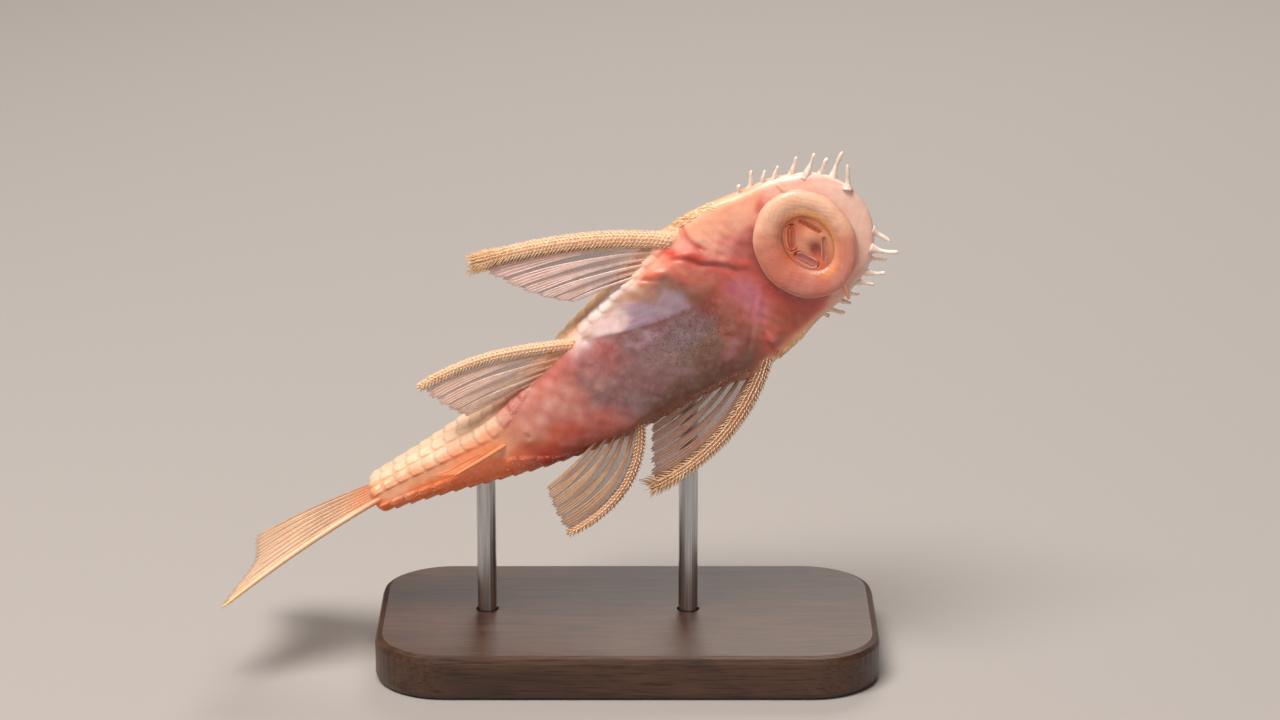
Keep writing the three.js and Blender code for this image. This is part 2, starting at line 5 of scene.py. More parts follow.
import bmesh
import bpy
import numpy as np
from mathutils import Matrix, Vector


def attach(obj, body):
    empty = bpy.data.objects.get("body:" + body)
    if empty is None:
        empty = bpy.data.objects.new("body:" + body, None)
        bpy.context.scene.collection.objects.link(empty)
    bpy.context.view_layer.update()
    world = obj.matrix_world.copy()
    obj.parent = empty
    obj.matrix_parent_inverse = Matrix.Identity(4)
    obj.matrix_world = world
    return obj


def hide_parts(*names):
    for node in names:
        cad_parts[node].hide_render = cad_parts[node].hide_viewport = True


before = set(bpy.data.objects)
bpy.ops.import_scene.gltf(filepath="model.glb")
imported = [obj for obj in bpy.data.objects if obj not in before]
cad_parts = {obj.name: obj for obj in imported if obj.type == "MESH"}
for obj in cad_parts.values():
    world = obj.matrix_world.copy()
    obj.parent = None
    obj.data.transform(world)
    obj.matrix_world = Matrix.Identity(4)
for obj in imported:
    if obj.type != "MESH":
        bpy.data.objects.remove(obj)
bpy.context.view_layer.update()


# Camera: the photographer looks a little down at the fish on the glass. The frame is 1280 by 720 and shows
# 0.154 mm a pixel in the plane of the belly, at arm's length.
CAMERA_TARGET = Vector((0.00196, 0.0, 0.04798))
CAMERA_DISTANCE = 0.6
CAMERA_ELEVATION = math.radians(17)
PIXELS_ACROSS = 1280
PIXEL_SIZE = 0.000154
SENSOR_WIDTH = 36.0

camera_data = bpy.data.cameras.new("camera")
camera_data.sensor_width = SENSOR_WIDTH
camera_data.lens = SENSOR_WIDTH * CAMERA_DISTANCE / (PIXELS_ACROSS * PIXEL_SIZE)
camera_data.clip_start = 0.01
camera = bpy.data.objects.new("camera", camera_data)
bpy.context.collection.objects.link(camera)
camera.location = CAMERA_TARGET + CAMERA_DISTANCE * Vector(
    (0, -math.cos(CAMERA_ELEVATION), math.sin(CAMERA_ELEVATION))
)
camera.rotation_euler = (math.pi / 2 - CAMERA_ELEVATION, 0, 0)
bpy.context.scene.camera = camera
bpy.context.scene.view_settings.view_transform = "Standard"


# Studio: a pale matt floor that curves up into a wall all round, one broad lamp above and a little in
# front, a weaker one low on the right, and a small one behind that lights the fins' clear skin.
def mesh_piece(name, points, quads, triangles=()):
    """A mesh object from an array of points and arrays of corner numbers, all put in at once."""
    points = np.asarray(points, float).reshape(-1, 3)
    quads = np.asarray(quads, int).reshape(-1, 4)
    triangles = np.asarray(triangles, int).reshape(-1, 3)
    corners = np.concatenate([quads.ravel(), triangles.ravel()])
    sizes = np.concatenate([np.full(len(quads), 4), np.full(len(triangles), 3)])
    mesh = bpy.data.meshes.new(name)
    mesh.vertices.add(len(points))
    mesh.vertices.foreach_set("co", points.ravel())
    mesh.loops.add(len(corners))
    mesh.loops.foreach_set("vertex_index", corners)
    mesh.polygons.add(len(sizes))
    mesh.polygons.foreach_set("loop_start", np.concatenate([[0], np.cumsum(sizes)[:-1]]))
    mesh.polygons.foreach_set("loop_total", sizes)
    mesh.polygons.foreach_set("use_smooth", np.ones(len(sizes), bool))
    mesh.update(calc_edges=True)
    piece = bpy.data.objects.new(name, mesh)
    bpy.context.collection.objects.link(piece)
    return piece


def grid_quads(rows, columns, closed=False):
    """Corner numbers of a grid's quads, row after row; closed joins the last column to the first."""
    i, j = np.meshgrid(np.arange(rows - 1), np.arange(columns if closed else columns - 1), indexing="ij")
    k = (j + 1) % columns
    near, far = i * columns, (i + 1) * columns
    return np.stack([near + j, near + k, far + k, far + j], -1).reshape(-1, 4)


def srgb(red, green, blue):
    """A colour read as 0 to 255 screen values, as the linear values that a shader wants."""
    values = np.array([red, green, blue]) / 255
    return tuple(np.where(values < 0.04045, values / 12.92, ((values + 0.055) / 1.055) ** 2.4)) + (1.0,)


def plain_material(name, colour, roughness):
    """A new material with its node tree and its Principled shader."""
    material = bpy.data.materials.new(name)
    material.use_nodes = True
    tree = material.node_tree
    shader = tree.nodes["Principled BSDF"]
    shader.inputs["Base Color"].default_value = srgb(*colour)
    shader.inputs["Roughness"].default_value = roughness
    return material, tree, shader


FLOOR_RADIUS = 1.25
COVE_RADIUS = 0.6
WALL_HEIGHT = 2.0
FLOOR_SIDES = 96

cove_turn = np.linspace(0, math.pi / 2, 20)
wall_radius = FLOOR_RADIUS + COVE_RADIUS
bowl_radius = np.concatenate([[0.001, 0.6], FLOOR_RADIUS + COVE_RADIUS * np.sin(cove_turn), [wall_radius]])
bowl_height = np.concatenate([[0, 0], COVE_RADIUS * (1 - np.cos(cove_turn)), [WALL_HEIGHT]])
bowl_turn = np.linspace(0, 2 * math.pi, FLOOR_SIDES, endpoint=False)
floor_points = np.stack([
    bowl_radius[:, None] * np.cos(bowl_turn), bowl_radius[:, None] * np.sin(bowl_turn),
    np.broadcast_to(bowl_height[:, None], (len(bowl_height), FLOOR_SIDES)),
], -1)
floor = mesh_piece("floor", floor_points, grid_quads(len(bowl_radius), FLOOR_SIDES, closed=True))
floor_material = plain_material("matt paper", (170, 164, 160), 0.9)[0]
floor.data.materials.append(floor_material)

LAMPS = {
    "key": {"at": (-0.26, -0.34, 0.88), "size": 0.5, "watts": 11.8, "colour": (1.0, 0.95, 0.9)},
    "fill": {"at": (0.35, -1.0, 0.3), "size": 0.8, "watts": 1.2, "colour": (1.0, 0.93, 0.92)},
    "rim": {"at": (0.1, 0.6, 0.55), "size": 0.35, "watts": 2.6, "colour": (1.0, 0.95, 0.9)},
}
for lamp_name, lamp in LAMPS.items():
    lamp_data = bpy.data.lights.new(lamp_name, "AREA")
    lamp_data.size = lamp["size"]
    lamp_data.energy = lamp["watts"]
    lamp_data.color = lamp["colour"]
    lamp_object = bpy.data.objects.new(lamp_name, lamp_data)
    bpy.context.collection.objects.link(lamp_object)
    lamp_object.location = lamp["at"]
    lamp_object.rotation_euler = (CAMERA_TARGET - Vector(lamp["at"])).to_track_quat("-Z", "Y").to_euler()

world = bpy.data.worlds.new("studio air")
bpy.context.scene.world = world
world.use_nodes = True
world.node_tree.nodes["Background"].inputs["Color"].default_value = (1.0, 0.96, 0.93, 1)
world.node_tree.nodes["Background"].inputs["Strength"].default_value = 0.22


# Stand base: a slab of dark walnut with rounded corners, routed round its top edge and rubbed with oil. The
# grain runs along its length.
def object_pattern(tree, scale=(1, 1, 1)):
    """Object coordinates in metres, stretched by scale, for a pattern that stays on the piece."""
    coordinates = tree.nodes.new("ShaderNodeTexCoord")
    mapping = tree.nodes.new("ShaderNodeMapping")
    mapping.inputs["Scale"].default_value = scale
    tree.links.new(coordinates.outputs["Object"], mapping.inputs["Vector"])
    return mapping.outputs["Vector"]


def noise(tree, vector, scale, detail=3.0, roughness=0.55, distortion=0.0):
    """The grey value of a Noise texture on a vector."""
    texture = tree.nodes.new("ShaderNodeTexNoise")
    texture.inputs["Scale"].default_value = scale
    texture.inputs["Detail"].default_value = detail
    texture.inputs["Roughness"].default_value = roughness
    texture.inputs["Distortion"].default_value = distortion
    tree.links.new(vector, texture.inputs["Vector"])
    return texture.outputs["Fac"]


def ramp(tree, value, stops):
    """A ramp on a grey value: stops are a position and a colour of 3 screen values or 4 linear ones."""
    node = tree.nodes.new("ShaderNodeValToRGB")
    elements = node.color_ramp.elements
    stops = [(position, colour if len(colour) == 4 else srgb(*colour)) for position, colour in stops]
    elements[0].position, elements[0].color = stops[0]
    elements[1].position, elements[1].color = stops[-1]
    for position, colour in stops[1:-1]:
        elements.new(position).color = colour
    tree.links.new(value, node.inputs["Fac"])
    return node.outputs["Color"]


def feed(tree, socket, value):
    """Gives a socket its value, which is another socket or a fixed value."""
    if isinstance(value, bpy.types.NodeSocket):
        tree.links.new(value, socket)
    else:
        socket.default_value = value


def mix_colours(tree, share, first, second, blend="MIX"):
    """Two colours mixed by a share; each of the three is a socket or a fixed value."""
    node = tree.nodes.new("ShaderNodeMix")
    node.data_type = "RGBA"
    node.blend_type = blend
    for number, value in ((0, share), (6, first), (7, second)):
        feed(tree, node.inputs[number], value)
    return node.outputs[2]


def add_bump(tree, shader, height, strength, distance, below=None):
    """A bump of a height map, over another bump if one is given, into the shader's normal."""
    bump = tree.nodes.new("ShaderNodeBump")
    bump.inputs["Strength"].default_value = strength
    bump.inputs["Distance"].default_value = distance
    tree.links.new(height, bump.inputs["Height"])
    if below is not None:
        tree.links.new(below, bump.inputs["Normal"])
    tree.links.new(bump.outputs["Normal"], shader.inputs["Normal"])
    return bump.outputs["Normal"]


walnut, tree, shader = plain_material("oiled walnut", (70, 45, 32), 0.42)
grain_space = object_pattern(tree, (1, 14, 6))
growth = noise(tree, grain_space, 16, 4, 0.6, 1.4)
pores = noise(tree, object_pattern(tree, (1, 30, 30)), 130, 2, 0.7)
growth_colour = ramp(tree, growth, [
    (0.3, (46, 28, 20)), (0.5, (84, 54, 36)), (0.62, (66, 42, 29)), (0.75, (104, 70, 47)),
])
pore_colour = ramp(tree, pores, [(0.36, (120, 100, 90)), (0.5, (255, 255, 255))])
wood_colour = mix_colours(tree, 0.8, growth_colour, pore_colour, "MULTIPLY")
tree.links.new(wood_colour, shader.inputs["Base Color"])
add_bump(tree, shader, pores, 0.25, 0.0002)
shader.inputs["Coat Weight"].default_value = 0.15
shader.inputs["Coat Roughness"].default_value = 0.3
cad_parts["stand_base"].data.materials.clear()
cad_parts["stand_base"].data.materials.append(walnut)


# Stand rods: two stainless steel rods, drawn and brushed lengthwise, glued into holes in the base. Their ends
# are cut to the fish's side.
steel, tree, shader = plain_material("brushed steel", (196, 198, 200), 0.28)
shader.inputs["Metallic"].default_value = 1.0
brushing = noise(tree, object_pattern(tree, (60, 60, 1)), 90, 2, 0.6)
steel_colour = ramp(tree, brushing, [(0.3, (168, 170, 173)), (0.7, (212, 213, 214))])
tree.links.new(steel_colour, shader.inputs["Base Color"])
add_bump(tree, shader, brushing, 0.15, 0.00005)
for rod in ("stand_rod_front", "stand_rod_rear"):
    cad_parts[rod].data.materials.clear()
    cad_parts[rod].data.materials.append(steel)


# Skin: one unbroken skin over head, trunk and tail. Five rows of bony plates a side overlap like shingles
# from the head to the tail; the head is bare bone and soft skin, and the belly between the lowest rows is
# naked. All in millimetres along the spine, to the fish's left and up from the belly plane.
STANDARD_LENGTH = 90
SNOUT_X = 36.1
SNOUT_Z = 73.7
BELLY_PLANE_TO_CENTRE = 8
HEADING = [(0, 29), (25, 36.7), (40, 38.0), (52, 35.6), (62, 28.6), (74, 25.6), (90, 25.6)]
HALF_WIDTH = [
    (0, 7.6), (5, 9.0), (10, 10.8), (15, 11.6), (20, 12.4), (27, 12.9), (33, 12.2),
    (40, 10.8), (48, 9.6), (56, 7.9), (65, 6.3), (78, 4.1), (90, 2.4),
]
BACK = [
    (0, 4.6), (5, 8.2), (10, 11.2), (15, 13.4), (20, 15.0), (27, 16.8),
    (38, 18.4), (50, 17.4), (60, 15.8), (70, 14.0), (84, 12.6), (90, 13.0),
]
BELLY = [
    (0, 2.4), (6, 2.0), (18, 2.0), (27, 1.1), (34, 0.2), (42, -0.6),
    (52, -0.2), (60, 0.4), (66, 1.0), (75, 2.3), (84, 3.3), (90, 3.2),
]
WIDEST = [(0, 3.4), (10, 4.0), (20, 5.0), (28, 6.0), (40, 7.5), (55, 7.0), (70, 7.5), (90, 8.1)]
SNOUT_ROUNDING = 6
SNOUT_LIP = 4
TAIL_ROUNDING = 2
BACK_FULLNESS = 2.2
BELLY_FULLNESS = 3.0
PLATES_FROM = 27.5
PLATES_TO = 89
PLATES_IN_A_ROW = 26
PLATE_RISE = 0.36
PLATE_BULGE = 0.7
TRUNK_ROWS = [5, 31, 57, 80, 104, 128]
TAIL_ROWS = [6, 38, 70, 102, 137, 172]


def through(stations, s):
    """A smooth curve through (s, value) stations: a cubic between each two, with Catmull-Rom slopes."""
    at, value = np.array(stations, float).T
    slope = np.empty(len(at))
    slope[1:-1] = (value[2:] - value[:-2]) / (at[2:] - at[:-2])
    slope[0] = (value[1] - value[0]) / (at[1] - at[0])
    slope[-1] = (value[-1] - value[-2]) / (at[-1] - at[-2])
    s = np.asarray(s, float)
    i = np.clip(np.searchsorted(at, s, side="right") - 1, 0, len(at) - 2)
    h = at[i + 1] - at[i]
    t = np.clip((s - at[i]) / h, 0, 1)
    return (
        value[i] * (1 + 2 * t) * (1 - t) ** 2 + slope[i] * h * t * (1 - t) ** 2
        + value[i + 1] * t * t * (3 - 2 * t) + slope[i + 1] * h * t * t * (t - 1)
    )


def smooth(low, high, x):
    """0 below low, 1 above high and a smooth step between."""
    t = np.clip((np.asarray(x, float) - low) / (high - low), 0, 1)
    return t * t * (3 - 2 * t)


def hill(x, width):
    """A bell curve of height 1 and the given half width."""
    return np.exp(-((np.asarray(x, float) / width) ** 2))


SPINE_STEP = 0.5
SPINE_END = 125
spine_s = np.arange(0, SPINE_END + SPINE_STEP, SPINE_STEP)
spine_turn = np.radians(through(HEADING, spine_s[1:] - SPINE_STEP / 2))
spine_x = SNOUT_X - np.concatenate([[0], np.cumsum(SPINE_STEP * np.cos(spine_turn))])
spine_z = SNOUT_Z - np.concatenate([[0], np.cumsum(SPINE_STEP * np.sin(spine_turn))])


def fish_point(s, left, up):
    """Metres in the frame of a point in mm: s along the spine, to the left, and up from the belly plane."""
    s, left, up = np.broadcast_arrays(np.asarray(s, float), left, up)
    heading = np.radians(through(HEADING, np.clip(s, 0, STANDARD_LENGTH)))
    x = np.interp(s, spine_s, spine_x) + left * np.sin(heading)
    z = np.interp(s, spine_s, spine_z) - left * np.cos(heading)
    return np.stack([x, up - BELLY_PLANE_TO_CENTRE, z], -1) / 1000


def rounding(x, reach):
    """A quarter circle from 0 at x = 0 to 1 at x = reach."""
    return np.sqrt(np.maximum(0, 1 - (1 - np.clip(np.asarray(x, float) / reach, 0, 1)) ** 2))


def body_place(s, turn, lift=0.0):
    """
    Left and up of a point of the body: turn is the angle in degrees from the middle of the back, left side
    positive. The section is an oval squared off by its fullness, more so below, and closes over the snout
    and the tail's end. lift moves the point outwards.
    """
    closing = rounding(STANDARD_LENGTH - s + 0.01, TAIL_ROUNDING)
    wide = through(HALF_WIDTH, s) * rounding(s, SNOUT_ROUNDING) * closing
    tall = rounding(s, SNOUT_LIP) * closing
    middle = through(WIDEST, s)
    upper = (through(BACK, s) - middle) * tall
    lower = (middle - through(BELLY, s)) * tall
    a = np.radians(turn)
    power = 2 / np.where(np.abs(turn) < 90, BACK_FULLNESS, BELLY_FULLNESS)
    sine, cosine = np.sin(a), np.cos(a)
    left = wide * np.sign(sine) * np.abs(sine) ** power + lift * sine
    height = np.where(cosine > 0, upper, lower)
    up = middle + height * np.sign(cosine) * np.abs(cosine) ** power + lift * cosine
    return left, up


def plate_pattern(s, turn):
    """
    Where a point lies on its bony plate: the rise of the plate there, how near it is to the plate's rim
    (1 at the rim) and whether it is on a plate at all. Each plate climbs from its front edge to its hind
    edge, which bows backwards and is rounded off.
    """
    blend = smooth(55, 68, s)
    edges = [trunk * (1 - blend) + tail * blend for trunk, tail in zip(TRUNK_ROWS, TAIL_ROWS)]
    rise = np.zeros(np.shape(s))
    rim = np.zeros(np.shape(s))
    plated = np.zeros(np.shape(s))
    pitch = (PLATES_TO - PLATES_FROM) / PLATES_IN_A_ROW
    for low, high in zip(edges[:-1], edges[1:]):
        across = (np.abs(turn) - low) / (high - low)
        inside = (across >= 0) & (across < 1)
        bow = PLATE_BULGE * (np.sin(np.pi * np.clip(across, 0, 1)) ** 0.6 - 0.5)
        place = (s - bow - PLATES_FROM) / pitch
        along = place - np.floor(place)
        side_edge = smooth(0, 0.16, np.minimum(across, 1 - across))
        on = inside & (place > 0) & (place < PLATES_IN_A_ROW)
        climb = PLATE_RISE * (0.12 + 0.88 * along ** 0.8) * side_edge * (1 - 0.85 * smooth(0.84, 1, along))
        keel = 0.08 * hill(across - 0.5, 0.12) * along * (1 - smooth(0.84, 1, along))
        rise = np.where(on, climb + keel, rise)
        rim = np.where(on, np.maximum(smooth(0.8, 1.0, along), 1 - side_edge), rim)
        plated = np.where(on, 1.0, plated)
    return rise, rim, plated


EYE = {"s": 19.6, "left": 8.1, "up": 10.8, "radius": 2.2}
NOSTRIL = {"s": 13.4, "left": 4.3}
VENT_S = 62.5
GILL_FLAP = {"s": 18.9, "slant": 0.94}
LOBE = {"s": 23.5, "left": 9.8}
GIRDLE = [
    (-13, 38.0), (-9.6, 32.5), (-8, 30.0), (-5.2, 28.2), (0, 26.8), (3, 26.6), (8.6, 27.8), (12.4, 31.5),
    (13.5, 33.0),
]
MEMBRANE_LINE = [(24, -0.9), (28.5, -1.8), (35, -3.4), (47, -8.3), (52, -10.4)]
MEMBRANE_EDGE = (-0.2, 0.22)


def gill_slit(s, turned, width):
    """1 on the gill slit, which bows backwards as it runs down the cheek, and 0 past its ends."""
    bowed = s - 23.6 - 1.2 * np.sin(np.radians(turned - 95) * 3)
    return hill(bowed, width) * smooth(104, 112, turned) * (1 - smooth(146, 156, turned))


def behind_flap(s, left):
    """How far behind the edge of the gill flap a point of the throat lies, in millimetres."""
    return s - GILL_FLAP["s"] - GILL_FLAP["slant"] * np.abs(left) - 0.25 * np.sin(left * 1.7)


def along_flap(aside):
    """1 along the edge of the gill flap and 0 past its ends, by the distance from the throat's middle."""
    return smooth(1.0, 2.6, aside) * (1 - smooth(8.6, 10.4, aside))


def head_relief(s, turn, left, up):
    """
    Low relief of the soft and bare parts: brow, crest, cheek pad, throat hollow, rim round each eye, cup of
    each nostril, gill slit, folds over the shoulder girdle, swellings at the paired fins, and the vent.
    """
    turned = np.abs(turn)
    aside = np.abs(left)
    relief = 0.9 * hill(s - 20, 3.5) * hill(turned - 24, 11)
    relief += 0.5 * hill(s - 26, 4) * hill(turned, 12)
    relief += 0.5 * hill(s - 21, 4) * hill(turned - 100, 14)
    relief -= 0.5 * hill(s - 20, 2.5) * hill(turned - 180, 45)
    from_eye = np.sqrt((s - EYE["s"]) ** 2 + (aside - EYE["left"] - 0.8) ** 2 + (up - EYE["up"] - 1.1) ** 2)
    relief += 0.5 * hill(from_eye - 2.25, 0.45) - 0.5 * hill(from_eye, 1.2)
    from_nostril = np.sqrt((s - NOSTRIL["s"]) ** 2 + (aside - NOSTRIL["left"]) ** 2)
    nostril = 0.32 * hill(from_nostril - 0.95, 0.28) - 0.7 * hill(from_nostril, 0.55)
    relief += np.where(turned < 80, nostril, 0)
    relief -= 0.45 * gill_slit(s, turned, 0.32)
    under = smooth(120, 138, turned)
    flap = behind_flap(s, left)
    flap_share = along_flap(aside) * under * np.where(left < 0, 1.0, 0.5)
    relief += flap_share * (0.3 * hill(flap + 0.8, 0.9) - 0.34 * hill(flap - 0.15, 0.5))
    girdle = s - through(GIRDLE, left)
    relief += 0.3 * hill(girdle, 1.6) * under * smooth(-10.5, -9, left)
    relief -= 0.14 * hill(girdle - 2.4, 1.1) * under * smooth(-9, -6, left)
    relief += 0.55 * hill(np.sqrt((s - LOBE["s"]) ** 2 + (left - LOBE["left"]) ** 2), 1.1) * under
    relief -= 0.3 * hill(s - 33.2 - 1.3 * (aside - 9.4), 0.5) * hill(aside - 9.6, 1.6) * under
    relief -= 0.22 * hill(s - 22.8 + 0.3 * (left + 8.4), 0.22) * hill(left + 8.4, 1.1) * under
    border = left - through(MEMBRANE_LINE, s)
    relief += 0.10 * (1 - smooth(-0.25, 0.25, border)) * hill(s - 38, 9) * under
    relief += 0.05 * np.sin(s * 4.1 + 1.6 * np.sin(left * 0.9) + left * 1.1) * under * hill(s - 21.5, 3.2)
    relief += 0.9 * hill(s - 29, 3.0) * hill(turned - 101, 15)
    relief += 0.7 * hill(s - 49, 3.2) * hill(turned - 146, 16)
    vent = np.sqrt((s - VENT_S) ** 2 + left ** 2)
    relief += np.where(turned > 120, 0.5 * hill(vent, 1.5) - 0.55 * hill(vent, 0.4), 0)
    wrinkles = np.sin(s * 2.1 + 0.7 * np.sin(left * 1.3)) * np.sin(left * 1.9 + s * 0.4)
    relief += 0.05 * wrinkles * smooth(118, 140, turned) * (1 - smooth(58, 64, s)) * smooth(14, 18, s)
    return relief


def fan(pole, ring, turned=False):
    """Triangles that close a ring of corner numbers over a pole; turned makes them face the other way."""
    ahead = np.roll(ring, -1)
    return np.stack([np.full(len(ring), pole), *((ahead, ring) if turned else (ring, ahead))], -1)


def recalculate_outwards(piece):
    """Turns every face of a closed piece outwards."""
    work = bmesh.new()
    work.from_mesh(piece.data)
    bmesh.ops.recalc_face_normals(work, faces=work.faces)
    work.to_mesh(piece.data)
    work.free()


SKIN_AROUND = 236
SNOUT_ROWS = 41
SNOUT_END = 8.6
ROW_GAP = 0.262
LAST_ROW = 89.85
snout_s = SNOUT_END * np.linspace(0, 1, SNOUT_ROWS + 1)[1:] ** 1.8
skin_s = np.concatenate([snout_s, np.arange(SNOUT_END + 0.25, LAST_ROW - 0.1, ROW_GAP), [LAST_ROW]])
skin_turn = np.linspace(-180, 180, SKIN_AROUND, endpoint=False)
grid_s, grid_turn = np.meshgrid(skin_s, skin_turn, indexing="ij")
plate_rise, plate_rim, plated = plate_pattern(grid_s, grid_turn)
relief = head_relief(grid_s, grid_turn, *body_place(grid_s, grid_turn))
skin_left, skin_up = body_place(grid_s, grid_turn, relief + plate_rise)
snout_tip = fish_point(0, 0, through(WIDEST, 0))
tail_tip = fish_point(STANDARD_LENGTH, 0, through(WIDEST, STANDARD_LENGTH))
skin_points = np.concatenate([
    fish_point(grid_s, skin_left, skin_up).reshape(-1, 3), snout_tip[None], tail_tip[None],
])
skin_rows = len(skin_s)
first_ring = np.arange(SKIN_AROUND)
skin_caps = np.concatenate([
    fan(len(skin_points) - 2, first_ring, turned=True),
    fan(len(skin_points) - 1, (skin_rows - 1) * SKIN_AROUND + first_ring),
])
skin = mesh_piece("skin", skin_points, grid_quads(skin_rows, SKIN_AROUND, closed=True), skin_caps)
recalculate_outwards(skin)


def paint(ground, *washes):
    """The ground with washes laid over it in turn; each is a colour and its thickness from 0 to 1."""
    for colour, share in washes:
        share = np.clip(share, 0, 1)[..., None]
        ground = ground * (1 - share) + np.array(srgb(*colour)[:3]) * share
    return ground


def even_wash(shape, colour):
    """A ground of one colour."""
    return np.zeros(shape + (3,)) + np.array(srgb(*colour)[:3])


def patch(s, left, at, size, tilt=0.0, soft=0.5):
    """An oval wash on the underside, 1 inside and falling off over the soft part of its radius."""
    a = math.radians(tilt)
    along = (s - at[0]) * math.cos(a) + (left - at[1]) * math.sin(a)
    across = -(s - at[0]) * math.sin(a) + (left - at[1]) * math.cos(a)
    distance = np.sqrt((along / size[0]) ** 2 + (across / size[1]) ** 2)
    return 1 - smooth(1 - soft, 1 + soft, distance)


def wander(s, left, reach, seed):
    """
    An uneven wave that lets edges drift: the mean of seven sine waves over the underside, each with its own
    direction and phase and a length near reach.
    """
    draw = np.random.default_rng(seed)
    total = np.zeros(np.shape(s))
    for way, phase, stretch in draw.uniform((0, 0, 0.6), (math.pi, 2 * math.pi, 1.6), (7, 3)):
        total += np.sin((s * math.cos(way) + left * math.sin(way)) * 2 * math.pi / (reach * stretch) + phase)
    return total / 2.6


def underside(turn):
    """1 on the belly, the throat and under the tail, and 0 up the flanks."""
    return smooth(112, 134, np.abs(turn))


RED_BAND = [
    (-9.5, 27.6), (-8.1, 26.2), (-5.9, 24.4), (-1.7, 20.8), (0, 19.3), (4.3, 18.9), (7.4, 17.2), (10, 14.5),
]


def deepen(colour, share, tint):
    """The colour times a tint, where share is 1, and left as it is where share is 0."""
    return colour * (1 - share[..., None] * (1 - np.array(tint)))


